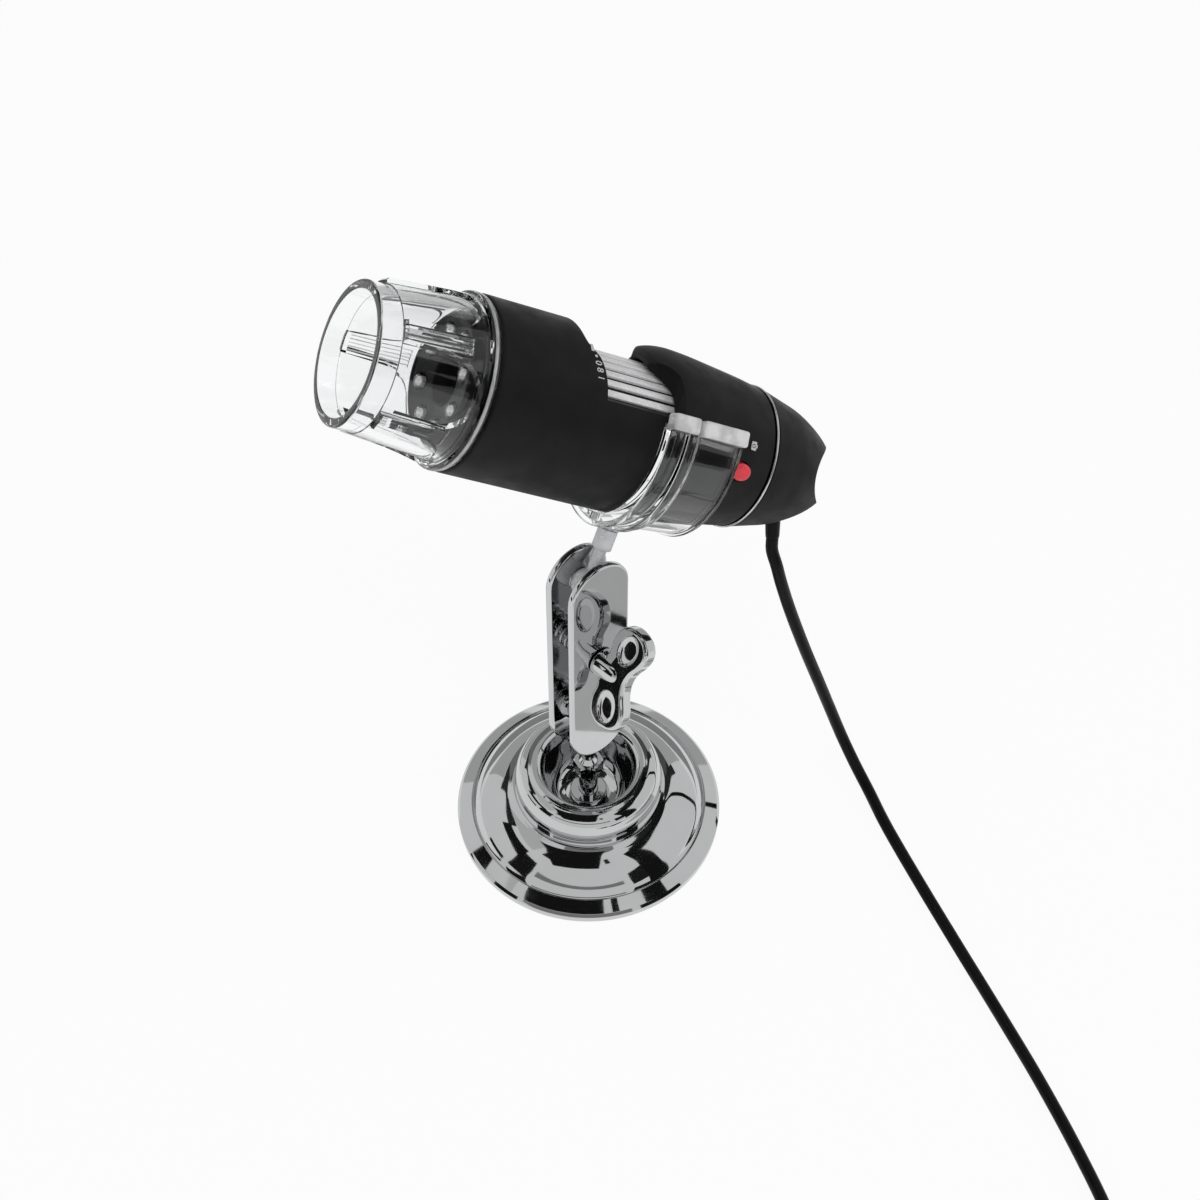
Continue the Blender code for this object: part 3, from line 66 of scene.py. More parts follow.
# Where the pieces turn: the same directions as in the CAD source
ARM_LEAN = math.radians(8.0)
ARM_TURN = math.radians(39.5)
WING_TURN = math.radians(25.0)
NOSE_AZIMUTH = math.radians(11.07)
NOSE_RISE = math.radians(31.0)
STEM_ROLL = math.radians(29.0)
GLAND_SLANT = math.radians(23.0)
LOWER_BALL_Z = 36.6
ARM_LENGTH = 39.0
STEM_LENGTH = 32.7
CRADLE_AT = 42.0
PLATE_INNER = 2.6
SCREW_MIDDLE = ARM_LENGTH / 2 + 1.2
NECK = 1.3

ARM_DIR = Vector((0.0, math.sin(ARM_LEAN), math.cos(ARM_LEAN)))
ARM_FRONT = Vector((0.0, -math.cos(ARM_LEAN), math.sin(ARM_LEAN)))
PLATE_NORMAL = ARM_FRONT * math.cos(ARM_TURN) + ARM_DIR.cross(ARM_FRONT) * math.sin(ARM_TURN)
NOSE_DIR = Vector((-math.cos(NOSE_AZIMUTH) * math.cos(NOSE_RISE),
                   -math.sin(NOSE_AZIMUTH) * math.cos(NOSE_RISE), math.sin(NOSE_RISE)))
NOSE_TOP = (Vector((0.0, 0.0, 1.0)) - NOSE_DIR * NOSE_DIR.z).normalized()
STEM_DIR = NOSE_TOP * math.cos(STEM_ROLL) + NOSE_DIR.cross(NOSE_TOP) * math.sin(STEM_ROLL)
LOWER_BALL = Vector((0.0, 0.0, LOWER_BALL_Z)) * MM
UPPER_BALL = LOWER_BALL + ARM_DIR * ARM_LENGTH * MM
SLEEVE_FRONT = UPPER_BALL + STEM_DIR * STEM_LENGTH * MM + NOSE_DIR * CRADLE_AT * MM


def facing(x_dir, z_dir, origin):
    """A placement whose +Z is z_dir and whose +X is x_dir."""
    z = z_dir.normalized()
    x = (x_dir - z * x_dir.dot(z)).normalized()
    place = Matrix((x, z.cross(x), z)).transposed().to_4x4()
    place.translation = origin
    return place


WING_UP = ARM_DIR * math.cos(WING_TURN) + ARM_DIR.cross(PLATE_NORMAL) * math.sin(WING_TURN)
FOOT = Matrix.Identity(4)
ARM = facing(PLATE_NORMAL, ARM_DIR, LOWER_BALL)
WING = facing(WING_UP, PLATE_NORMAL, LOWER_BALL + ARM_DIR * SCREW_MIDDLE * MM)
STEM = facing(NOSE_DIR, STEM_DIR, UPPER_BALL)
BARREL = facing(STEM_DIR, -NOSE_DIR, SLEEVE_FRONT)
ALONG_X = Matrix(((0, 0, 1, 0), (1, 0, 0, 0), (0, 1, 0, 0), (0, 0, 0, 1)))
UPRIGHT = Matrix(((1, 0, 0, 0), (0, 0, -1, 0), (0, 1, 0, 0), (0, 0, 0, 1)))


def shift(x, y, z):
    """A move, in millimetres."""
    return Matrix.Translation((x * MM, y * MM, z * MM))


def turn(degrees, axis):
    """A turn about an axis."""
    return Matrix.Rotation(math.radians(degrees), 4, axis)


SCREW_LINE = ARM @ shift(0, 0, SCREW_MIDDLE) @ ALONG_X


def on_barrel(degrees, radius, along):
    """A placement on the barrel's skin: +Z points outward and +X toward the tail."""
    a = math.radians(degrees)
    out = Vector((math.cos(a), math.sin(a), 0.0))
    return BARREL @ facing(Vector((0, 0, 1)), out, (out * radius + Vector((0, 0, along))) * MM)


# Settings a user would change
def length(label, about, metres):
    """A size that a user can set."""
    return FloatProperty(name=label, description=about, default=metres, min=0.0, unit="LENGTH")


def tint(label, about, colour):
    """A colour that a user can set."""
    return FloatVectorProperty(name=label, description=about, default=colour, size=3,
                               min=0.0, max=1.0, subtype="COLOR")


class StandSizes(PropertyGroup):
    """Sizes of the foot, the clamping arm and the wing nut."""
    foot_radius: length("Foot radius", "Outer radius of the chrome foot", 0.0292)
    rim_radius: length("Rim radius", "Radius at which the bevelled rim meets the dome", 0.0256)
    dome_radius: length("Dome radius", "Radius at which the dome meets the collar", 0.0167)
    cup_radius: length("Cup radius", "Inner radius of the cup's mouth", 0.0104)
    ball_radius: length("Ball radius", "Radius of both balls", 0.0033)
    plate_half_width: length("Plate half width", "Half of the clamping plates' width", 0.0073)
    plate_thickness: length("Plate thickness", "Thickness of each clamping plate", 0.00165)
    wing_span: length("Wing span", "From the screw's axis to a wing's tip", 0.0116)
    wing_thickness: length("Wing thickness", "Thickness of the wing nut's wings", 0.0032)


class BarrelSizes(PropertyGroup):
    """Sizes of the microscope's barrel."""
    sleeve_radius: length("Sleeve radius", "Outer radius of the front sleeve", 0.017)
    wheel_radius: length("Wheel radius", "Outer radius of the focus wheel", 0.0127)
    wheel_ribs: IntProperty(name="Wheel ribs", description="Number of ribs round the focus wheel",
                            default=36, min=8, max=90)
    hood_front_radius: length("Hood front radius", "Outer radius of the clear hood's front ring", 0.0137)
    cradle_wall: length("Cradle wall", "Wall of the clear cradle", 0.0015)
    pocket_depth: length("Pocket depth", "Depth of the hood's U-shaped pockets", 0.00115)


class CordSizes(PropertyGroup):
    """Sizes of the cord."""
    cord_diameter: length("Cord diameter", "Outer diameter of the cord", 0.0026)


class Finishes(PropertyGroup):
    """Colours of the finishes."""
    chrome: tint("Chrome", "Polished chrome of the stand", (0.56, 0.565, 0.57))
    steel: tint("Steel", "Plain steel of the screw's spring and the plug's shell", (0.60, 0.60, 0.61))
    silver: tint("Silver", "Silver paint of the focus wheel", (0.86, 0.86, 0.87))
    soft_black: tint("Soft black", "Soft-touch black of the barrel", (0.0085, 0.0085, 0.009))
    cord_black: tint("Cord black", "Black of the cord's jacket", (0.004, 0.004, 0.004))
    rubber: tint("Pad rubber", "Dark rubber under the foot", (0.028, 0.028, 0.028))
    clear: tint("Clear plastic", "Clear plastic of the hood and the cradle", (0.97, 0.98, 0.985))
    milky: tint("Milky plastic", "Milky plastic of the stem", (0.86, 0.87, 0.88))
    red: tint("Button red", "Red of the snapshot button", (0.78, 0.055, 0.075))
    print_white: tint("Print white", "White ink of the dial's marks", (0.6, 0.6, 0.6))
    board: tint("Board green", "Green of the circuit board", (0.02, 0.12, 0.05))


class StudioSettings(PropertyGroup):
    """Light, floor and camera."""
    floor: tint("Floor", "Colour of the floor", (0.9, 0.9, 0.9))
    sky: FloatProperty(name="Sky level", description="Strength of the even light from all sides",
                       default=0.55, min=0.0, max=2.0)
    lamps: FloatProperty(name="Lamp level", description="Strength of the soft lamps",
                         default=1.0, min=0.0, max=5.0)
    lens: FloatProperty(name="Lens", description="Focal length on a 36 mm wide sensor, in millimetres",
                        default=64.836, min=10.0, max=300.0)


# Mesh helpers
def rounded(points, closed=True):
    """Points (x, y) or (x, y, radius): a corner with a radius becomes an arc."""
    made = []
    for i, point in enumerate(points):
        here = Vector(point[:2])
        radius = point[2] if len(point) > 2 else 0.0
        if radius <= 0 or (not closed and i in (0, len(points) - 1)):
            made.append((here.x, here.y))
            continue
        before = Vector(points[i - 1][:2]) - here
        after = Vector(points[(i + 1) % len(points)][:2]) - here
        half = before.angle(after) / 2
        reach = min(radius / math.tan(half), before.length * 0.49, after.length * 0.49)
        bow = reach * math.tan(half)
        centre = here + (before.normalized() + after.normalized()).normalized() * (bow / math.sin(half))
        a = here + before.normalized() * reach - centre
        b = here + after.normalized() * reach - centre
        sweep = a.angle(b)
        steps = max(2, round(sweep / math.radians(20)))
        for k in range(steps + 1):
            t = k / steps
            spot = centre + (a * math.sin((1 - t) * sweep) + b * math.sin(t * sweep)) / math.sin(sweep)
            made.append((spot.x, spot.y))
    return made


def flowing(points, per=6, closed=False):
    """A smooth line through the points, with per steps between two of them."""
    places = [Vector(p) for p in points]
    if closed:
        places = [places[-1]] + places + places[:2]
    else:
        places = [places[0] * 2 - places[1]] + places + [places[-1] * 2 - places[-2]]
    made = []
    for a, b, c, d in zip(places, places[1:], places[2:], places[3:]):
        for i in range(per):
            t = i / per
            made.append(0.5 * (b * 2 + (c - a) * t + (a * 2 - b * 5 + c * 4 - d) * t ** 2
                               + (b * 3 - a - c * 3 + d) * t ** 3))
    if not closed:
        made.append(places[-2])
    return [tuple(p) for p in made]


def ellipse(long, short, count=64):
    """Points round an ellipse: with six of them, a hexagon."""
    angles = [math.tau * i / count for i in range(count)]
    return [(long * math.cos(a), short * math.sin(a)) for a in angles]


def mirrored(half):
    """A half outline that starts or ends at x = 0, and its mirror image."""
    return half + [(-x, y) for x, y in reversed(half) if x > 1e-5]


def placed(name, data):
    """A new object in the scene."""
    ob = bpy.data.objects.new(name, data)
    bpy.context.scene.collection.objects.link(ob)
    return ob


def piece(name, bm, place=FOOT):
    """An object from a bmesh whose lengths are in millimetres."""
    bmesh.ops.scale(bm, vec=(MM, MM, MM), verts=bm.verts)
    bmesh.ops.recalc_face_normals(bm, faces=bm.faces)
    mesh = bpy.data.meshes.new(name)
    bm.to_mesh(mesh)
    bm.free()
    ob = placed(name, mesh)
    ob.matrix_world = place
    return ob


def strip(bm, low, high, closed=True):
    """Faces between two rows of points, which close into rings or stay open."""
    for i in range(len(low) if closed else len(low) - 1):
        j = (i + 1) % len(low)
        bm.faces.new((low[i], low[j], high[j], high[i]))


def skin(bm, rings, capped=True):
    """Faces round closed rings of points, with the first and the last one capped."""
    if capped:
        bm.faces.new(rings[0][::-1])
        bm.faces.new(rings[-1])
    for low, high in zip(rings, rings[1:]):
        strip(bm, low, high)


def turned(name, outline, place=FOOT, steps=128, arc=None):
    """An outline of (radius, height) turned about +Z.  With an arc, two angles in degrees, it stops there."""
    points = rounded(outline)
    bm = bmesh.new()
    if arc:
        first, last = (math.radians(a) for a in arc)
        angles = [first + (last - first) * i / steps for i in range(steps + 1)]
    else:
        angles = [math.tau * i / steps for i in range(steps)]
    rings = []
    for r, z in points:
        spots = [(0.0, 0.0, z)] if r < 1e-6 else [(r * math.cos(a), r * math.sin(a), z) for a in angles]
        rings.append([bm.verts.new(spot) for spot in spots])
    open_ended = points[0][0] < 1e-6 and points[-1][0] < 1e-6
    pairs = list(zip(rings, rings[1:])) + ([] if open_ended else [(rings[-1], rings[0])])
    for low, high in pairs:
        for i in range(len(angles) - (1 if arc else 0)):
            j = (i + 1) % len(angles)
            quad = [low[i % len(low)], low[j % len(low)], high[j % len(high)], high[i % len(high)]]
            corners = list(dict.fromkeys(quad))
            if len(corners) > 2:
                bm.faces.new(corners)
    if arc:
        bm.faces.new([ring[0] for ring in rings])
        bm.faces.new([ring[-1] for ring in reversed(rings)])
    return piece(name, bm, place)


def slab(name, outline, low, high, place=FOOT):
    """A flat outline of (x, y) from low to high along +Z."""
    bm = bmesh.new()
    points = rounded(outline)
    skin(bm, [[bm.verts.new((x, y, z)) for x, y in points] for z in (low, high)])
    return piece(name, bm, place)


def rod(name, radius, low, high, place=FOOT, steps=48):
    """A plain cylinder from low to high along +Z."""
    return turned(name, [(0, low), (radius, low), (radius, high), (0, high)], place, steps)


def block(name, size, centre=(0, 0, 0), place=FOOT, edge=0.0):
    """A block with its edges rounded by edge."""
    bm = bmesh.new()
    bmesh.ops.create_cube(bm, size=1.0)
    bmesh.ops.scale(bm, vec=size, verts=bm.verts)
    bmesh.ops.translate(bm, vec=centre, verts=bm.verts)
    if edge:
        bmesh.ops.bevel(bm, geom=bm.edges[:], offset=edge, segments=4, affect="EDGES", profile=0.5)
    return piece(name, bm, place)


def tube(name, points, radius, sides=20, place=FOOT):
    """One unbroken round tube through the points."""
    spots = [Vector(p) for p in points]
    bm = bmesh.new()
    side = None
    rings = []
    for i, spot in enumerate(spots):
        along = (spots[min(i + 1, len(spots) - 1)] - spots[max(i - 1, 0)]).normalized()
        if side is None:
            side = along.orthogonal().normalized()
        side = (side - along * side.dot(along)).normalized()
        across = along.cross(side)
        rings.append([bm.verts.new(spot + (side * math.cos(a) + across * math.sin(a)) * radius)
                      for a in (math.tau * k / sides for k in range(sides))])
    skin(bm, rings)
    return piece(name, bm, place)


def settle(ob):
    """Make the modifiers' result the mesh."""
    bpy.context.view_layer.update()
    graph = bpy.context.evaluated_depsgraph_get()
    mesh = bpy.data.meshes.new_from_object(ob.evaluated_get(graph), preserve_all_data_layers=True,
                                           depsgraph=graph)
    ob.modifiers.clear()
    ob.data = mesh
    mesh.name = ob.name
    return ob


def combine(ob, others, operation):
    """Cut the others from a piece, or join them to it, and take them away."""
    for other in others:
        step = ob.modifiers.new(other.name, "BOOLEAN")
        step.operation = operation
        step.solver = "EXACT"
        step.object = other
    settle(ob)
    for other in others:
        bpy.data.objects.remove(other, do_unlink=True)
    return ob


def cut(ob, *others):
    """Cut the others from a piece."""
    return combine(ob, others, "DIFFERENCE")


def join(ob, *others):
    """Join the others to a piece."""
    return combine(ob, others, "UNION")


def tidy(ob, apart):
    """Weld points closer than apart millimetres."""
    bm = bmesh.new()
    bm.from_mesh(ob.data)
    bmesh.ops.remove_doubles(bm, verts=bm.verts, dist=apart * MM)
    bmesh.ops.dissolve_degenerate(bm, edges=bm.edges, dist=apart * MM * 0.5)
    bm.to_mesh(ob.data)
    bm.free()
    return ob


def ease(ob, width, segments=3, limit=38):
    """Round every edge sharper than limit degrees by width."""
    step = ob.modifiers.new("edge", "BEVEL")
    step.width = width * MM
    step.segments = segments
    step.limit_method = "ANGLE"
    step.angle_limit = math.radians(limit)
    step.miter_outer = "MITER_ARC"
    return settle(ob)


def shade(ob, limit=40):
    """Smooth shading, with big flat faces kept flat and edges over limit degrees kept sharp."""
    ob.data.shade_smooth()
    ob.data.set_sharp_from_angle(angle=math.radians(limit))
    step = ob.modifiers.new("facing", "WEIGHTED_NORMAL")
    step.keep_sharp = True
    step.weight = 60
    return settle(ob)


def group(name, parts, place=FOOT):
    """Several shapes as one piece, without cutting them together."""
    bm = bmesh.new()
    for part in parts:
        part.data.transform(place.inverted() @ part.matrix_world)
        bm.from_mesh(part.data)
        bpy.data.objects.remove(part, do_unlink=True)
    bmesh.ops.scale(bm, vec=(1 / MM, 1 / MM, 1 / MM), verts=bm.verts)
    return piece(name, bm, place)


def dress(ob, body, slot, finish, *nodes, limit=40):
    """Shade a piece, give it its finish and let it ride on its body in place of the CAD nodes."""
    ob.data.transform(ob.matrix_world)
    ob.matrix_world = FOOT
    shade(ob, limit)
    ob.data.materials.clear()
    ob.data.materials.append(look(finish))
    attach(ob, body)
    if nodes:
        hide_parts(*nodes)
    return ob


def paint(name, finish):
    """A CAD node that stays in sight gets a better finish."""
    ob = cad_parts[name]
    ob.data.materials.clear()
    ob.data.materials.append(look(finish))
    ob.data.shade_smooth()
    ob.data.set_sharp_from_angle(angle=math.radians(35))
    return ob


# Finishes
def blank(kind, name):
    """The material or world of that name, with an empty node tree."""
    made = kind.get(name) or kind.new(name)
    made.use_nodes = True
    made.node_tree.nodes.clear()
    return made


def node(tree, kind, *wires, **values):
    """A new node with some inputs set, and others wired: each wire is an output and the input it goes to."""
    made = tree.nodes.new("ShaderNode" + kind)
    for socket, value in values.items():
        made.inputs[socket.replace("_", " ")].default_value = value
    for source, socket in wires:
        tree.links.new(source, made.inputs[socket])
    return made


def noise(tree, scale, detail, stretch=(1, 1, 1)):
    """Noise in the piece's own space, with its scale in waves for each metre."""
    spot = node(tree, "TexCoord")
    mapping = node(tree, "Mapping", (spot.outputs["Object"], "Vector"), Scale=stretch)
    return node(tree, "TexNoise", (mapping.outputs["Vector"], "Vector"), Scale=scale, Detail=detail).outputs["Fac"]


def vary_colour(tree, shader, colour, scale, detail, tones, start=0.35, end=0.65):
    """Noise between two tones, or between the colour made darker and lighter by a share of it."""
    if isinstance(tones, float):
        tones = [[min(1.0, c * (1 + side * tones)) for c in colour] for side in (-1, 1)]
    ramp = node(tree, "ValToRGB", (noise(tree, scale, detail), "Fac"))
    for stop, spot, tone in zip(ramp.color_ramp.elements, (start, end), tones):
        stop.position = spot
        stop.color = (*tone, 1.0)
    tree.links.new(ramp.outputs["Color"], shader.inputs["Base Color"])


def vary_roughness(tree, shader, scale, detail, low, high, stretch=(1, 1, 1)):
    """Roughness from noise, between low and high."""
    wire = (noise(tree, scale, detail, stretch), "Value")
    spread = node(tree, "MapRange", wire, From_Min=0.35, From_Max=0.65, To_Min=low, To_Max=high)
    tree.links.new(spread.outputs["Result"], shader.inputs["Roughness"])


def raise_grain(tree, shader, scale, detail, depth, strength=1.0, stretch=(1, 1, 1)):
    """Bump from noise, depth in millimetres."""
    wire = (noise(tree, scale, detail, stretch), "Height")
    bump = node(tree, "Bump", wire, Distance=depth * MM, Strength=strength)
    tree.links.new(bump.outputs["Normal"], shader.inputs["Normal"])


# Each finish: its material's name, its colour or that colour's setting, its roughness and other even values, and
# the arguments of its noise in vary_colour, vary_roughness and raise_grain
CLEAR = {"Transmission_Weight": 1.0, "IOR": 1.49}
FINISHES = {
    "chrome": ("polished_chrome", "chrome", 0.05, {"Metallic": 1.0},
               (90, 2, 0.02), (260, 4, 0.03, 0.075), (120, 2, 0.012, 0.5)),
    "steel": ("drawn_steel", "steel", 0.28, {"Metallic": 1.0},
              (500, 3, 0.08), (900, 3, 0.2, 0.36, (1, 1, 0.1)), (2600, 2, 0.008, 1.0, (0.15, 1, 1))),
    "silver": ("silver_paint", "silver", 0.36, {"Metallic": 0.35},
               (1800, 3, 0.06), (700, 3, 0.32, 0.46), (5200, 2, 0.008)),
    "soft_black": ("soft_touch_black", "soft_black", 0.5, {"Specular_IOR_Level": 0.16},
                   (160, 4, 0.14), (240, 4, 0.43, 0.56), (6000, 2, 0.01)),
    "inner_black": ("moulded_black", "soft_black", 0.45, {"Specular_IOR_Level": 0.12},
                    (300, 3, 0.2), (500, 3, 0.36, 0.5), (3000, 2, 0.012)),
    "cord": ("cord_jacket", "cord_black", 0.36, {"Specular_IOR_Level": 0.13},
             (200, 3, 0.2), (350, 3, 0.26, 0.4), (2400, 2, 0.012)),
    "rubber": ("pad_rubber", "rubber", 0.8, {"Specular_IOR_Level": 0.3}, (700, 4, 0.25), None, (2500, 3, 0.05)),
    "clear": ("clear_acrylic", "clear", 0.02, CLEAR, None, (180, 3, 0.0, 0.035), (150, 2, 0.02, 0.5)),
    "milky": ("milky_plastic", "milky", 0.22, {**CLEAR, "Transmission_Weight": 0.35},
              (130, 3, 0.035), (300, 3, 0.16, 0.28), (900, 2, 0.01)),
    # A brighter, partly milky copy of the clear plastic, used on the cradle's lips and the hood's edge band: painted
    # highlight for the light bent through thick clear edges
    "painted_highlight_clear": ("bright_clear_plastic", (0.97, 0.97, 0.97), 0.06,
                {**CLEAR, "Transmission_Weight": 0.3, "Coat_Weight": 0.6, "Coat_Roughness": 0.03},
                (260, 2, ((0.72, 0.72, 0.73), (1.0, 1.0, 1.0)), 0.4, 0.55), (200, 3, 0.03, 0.12),
                (220, 2, 0.05, 0.8)),
    "lamp": ("lamp_epoxy", (0.97, 0.98, 0.97), 0.03, {**CLEAR, "IOR": 1.5}, None, (900, 2, 0.0, 0.05), None),
    "white_metal": ("lamp_cup_metal", (0.93, 0.93, 0.91), 0.3, {"Metallic": 0.4}, None, (900, 2, 0.25, 0.4), None),
    "glass": ("coated_lens", (0.92, 0.94, 1.0), 0.0,
              {**CLEAR, "IOR": 1.6, "Coat_Weight": 0.4, "Coat_Roughness": 0.02}, None, (300, 2, 0.0, 0.02), None),
    "red": ("button_red", "red", 0.32, {"Specular_IOR_Level": 0.5},
            (700, 3, 0.07), (900, 3, 0.26, 0.4), (4000, 2, 0.006)),
    "ink": ("dial_ink", "print_white", 0.55, {}, (2500, 3, 0.12), None, None),
    "board": ("circuit_board", "board", 0.4, {}, (900, 4, 0.4), None, (2000, 2, 0.02)),
}
MADE = {}


def look(name):
    """The finish of that name, made once, with its even values set on the shader itself."""
    if name not in MADE:
        title, colour, roughness, values, tone, rough, grain = FINISHES[name]
        if isinstance(colour, str):
            colour = getattr(bpy.context.scene.scope_finishes, colour)
        MADE[name] = mat = blank(bpy.data.materials, title)
        mat.diffuse_color = (*colour, 1.0)
        tree = mat.node_tree
        shader = node(tree, "BsdfPrincipled", Base_Color=(*colour, 1.0), Roughness=roughness, **values)
        node(tree, "OutputMaterial", (shader.outputs["BSDF"], "Surface"))
        if tone:
            vary_colour(tree, shader, colour, *tone)
        if rough:
            vary_roughness(tree, shader, *rough)
        if grain:
            raise_grain(tree, shader, *grain)
    return MADE[name]


# Stand
class SCOPE_OT_foot(Operator):
    """Chrome foot with its bevelled rim, dome, collar and open cup, and the rubber pad under it"""
    bl_idname = "scope.foot"
    bl_label = "Foot"

    def execute(self, context):
        s = context.scene.scope_stand
        foot, rim, dome, cup = (v / MM for v in (s.foot_radius, s.rim_radius, s.dome_radius, s.cup_radius))
        outline = [(foot, 0.8, 0.25), (foot, 2.4, 0.2), (foot - 0.6, 3.0, 0.25), (rim + 0.35, 4.5, 0.12),
                   (rim, 4.15, 0.1)]
        outline += flowing([(rim - 0.35, 4.5), (dome + 7.12, 6.27), (dome + 4.27, 8.65), (dome + 1.78, 10.05),
                            (dome, 10.6)], 8)
        outline += [(dome - 0.6, 10.6, 0.1), (dome - 1.15, 11.2)]
        outline += flowing([(dome - 0.95, 11.6), (dome - 0.65, 12.9), (dome - 0.85, 15.1), (dome - 1.85, 17.15),
                            (dome - 3.2, 18.1), (dome - 4.4, 18.45)], 8)
        outline += [(cup + 0.75, 18.5, 0.5), (cup, 17.9, 0.4)]
        outline += flowing([(cup, 17.2), (cup - 0.35, 14.1), (cup - 1.75, 9.95), (cup - 3.4, 7.7),
                            (cup - 5.8, 6.9)], 6)
        outline += [(2.2, 6.9, 0.15), (2.2, 5.5), (cup - 4.4, 5.5), (cup, 7.8), (dome, 9.2), (rim - 1.4, 3.1),
                    (foot - 3.4, 1.9), (foot - 1.7, 1.9), (foot - 1.7, 0.8, 0.2)]
        dress(turned("chrome_foot", outline, FOOT, 192), "base", "chrome", "chrome", "base_shell")
        pad = [(0, 1.6), (27.2, 1.6, 0.1), (27.2, 0.0, 0.4), (24.6, 0.0, 0.15), (24.2, 0.3, 0.15),
               (23.4, 0.3, 0.15), (23.0, 0.0, 0.15), (9.6, 0.0, 0.15), (9.2, 0.3, 0.15), (8.4, 0.3, 0.15),
               (8.0, 0.0, 0.15), (0, 0.0)]
        dress(turned("rubber_pad", pad, FOOT, 160), "base", "pad_rubber", "rubber", "base_pad")
        return {"FINISHED"}


def ball_outline(radius, centre, neck, up):
    """Half of a ball from its far pole round to where a neck leaves it."""
    stop = math.pi - math.asin(neck / radius)
    return [(radius * math.sin(stop * i / 28), centre + up * radius * math.cos(stop * i / 28))
            for i in range(29)]


class SCOPE_OT_stud(Operator):
    """Chrome stud in the cup with its flange, hexagon, thin neck and lower ball"""
    bl_idname = "scope.stud"
    bl_label = "Ball stud"

    def execute(self, context):
        ball = context.scene.scope_stand.ball_radius / MM
        outline = ball_outline(ball, LOWER_BALL_Z, NECK, 1)
        outline[0] = (0, LOWER_BALL_Z + ball)
        outline += flowing([(NECK, 32.6), (NECK - 0.05, 28.0), (NECK, 22.6)], 4)
        outline += [(NECK, 21.5, 0.4), (2.1, 20.5, 0.15), (2.1, 8.8, 0.15), (4.0, 8.8, 0.25), (4.0, 7.2, 0.1),
                    (1.9, 7.2), (1.9, 3.0), (0, 3.0)]
        stud = turned("chrome_stud", outline, FOOT, 64)
        hexagon = slab("hexagon", ellipse(3.3, 3.3, 6), 16.6, 20.2)
        dome = turned("hexagon_chamfer", [(0, 16.2), (2.6, 16.2), (3.45, 17.1), (3.45, 19.7), (2.6, 20.6),
                                          (0, 20.6)], FOOT, 64)
        combine(hexagon, [dome], "INTERSECT")
        ease(hexagon, 0.12, 2, 25)
        join(stud, hexagon)
        dress(stud, "stud", "chrome", "chrome", "ball_stud", limit=30)
        nut = slab("hexagon_nut", ellipse(4.3, 4.3, 6), 3.0, 5.2)
        cut(nut, rod("nut_bore", 2.2, 0, 8))
        ease(nut, 0.2, 2, 40)
        dress(nut, "stud", "steel", "steel", "stud_nut", limit=30)
        return {"FINISHED"}


class SCOPE_OT_plates(Operator):
    """Two chrome plates that clamp both balls, rounded at both ends"""
    bl_idname = "scope.plates"
    bl_label = "Clamping plates"

    def execute(self, context):
        s = context.scene.scope_stand
        half, thick, seat = s.plate_half_width / MM, s.plate_thickness / MM, s.ball_radius / MM + 0.3
        outline, steps = [], 48
        for centre, first in ((ARM_LENGTH, 0.0), (0.0, math.pi)):
            for i in range(steps + 1):
                a = first + math.pi * i / steps
                outline.append((half * math.cos(a), centre + half * math.sin(a)))
        for name, low, high in (("front_clamp_plate", PLATE_INNER, PLATE_INNER + thick),
                                ("rear_clamp_plate", -PLATE_INNER - thick, -PLATE_INNER)):
            plate = slab(name, outline, low, high, ARM @ ALONG_X)
            ease(plate, 0.5, 4)
            hole = rod("plate_hole", 1.8, -9, 9, SCREW_LINE)
            sockets = [turned("socket", ball_outline(seat, centre, 0.01, 1)[:-1] + [(0, centre - seat)], ARM, 64)
                       for centre in (0.0, ARM_LENGTH)]
            cut(plate, hole, *sockets)
            dress(plate, "arm", "chrome", "chrome", name.replace("_clamp", ""), limit=34)
        return {"FINISHED"}


class SCOPE_OT_screw(Operator):
    """Screw through both plates with its domed head behind, and the spring round it"""
    bl_idname = "scope.screw"
    bl_label = "Clamp screw and spring"

    def execute(self, context):
        outer = PLATE_INNER + context.scene.scope_stand.plate_thickness / MM
        end, head = outer + 5.5, -outer - 0.3
        crest, root, pitch, wide = 1.5, 1.3, 0.4, 3.3
        thread, along = [], end - 0.35
        while along > 0.2 - PLATE_INNER:
            thread += [(crest, along), (crest, along - 0.1), (root, along - 0.28)]
            along -= pitch
        outline = [(0, end), (root - 0.15, end)] + thread
        outline += [(crest, -PLATE_INNER), (crest, head), (wide, head, 0.15)]
        outline += flowing([(wide, head - 0.5), (2.95, head - 1.15), (2.0, head - 1.62), (0.9, head - 1.78)], 5)
        outline += [(0, head - 1.8)]
        screw = turned("screw_through_plates", outline, SCREW_LINE, 64)
        slot = block("screwdriver_slot", (8, 0.8, 1.2), (0, 0, head - 1.95), SCREW_LINE @ turn(35, "Z"))
        cut(screw, slot)
        dress(screw, "arm", "chrome", "chrome", "clamp_screw", limit=30)
        reach, curls, steps, radius, wire = PLATE_INNER - 0.7, 2.5, 90, 2.5, 0.4
        angles = [math.tau * curls * i / steps for i in range(steps + 1)]
        points = [(radius * math.cos(a), radius * math.sin(a), reach * (2 * i / steps - 1))
                  for i, a in enumerate(angles)]
        dress(tube("spring_round_screw", points, wire, 12, SCREW_LINE), "arm", "steel", "steel",
              "clamp_spring")
        return {"FINISHED"}


WING_SHARES = [(0.0, 0.0), (0.14, 0.0), (0.26, 0.0), (0.36, 0.04), (0.62, 0.02), (0.86, 0.12), (0.98, 0.32),
               (1.0, 0.55), (0.94, 0.80), (0.80, 0.96), (0.62, 1.0), (0.42, 0.92), (0.22, 0.79), (0.0, 0.74)]


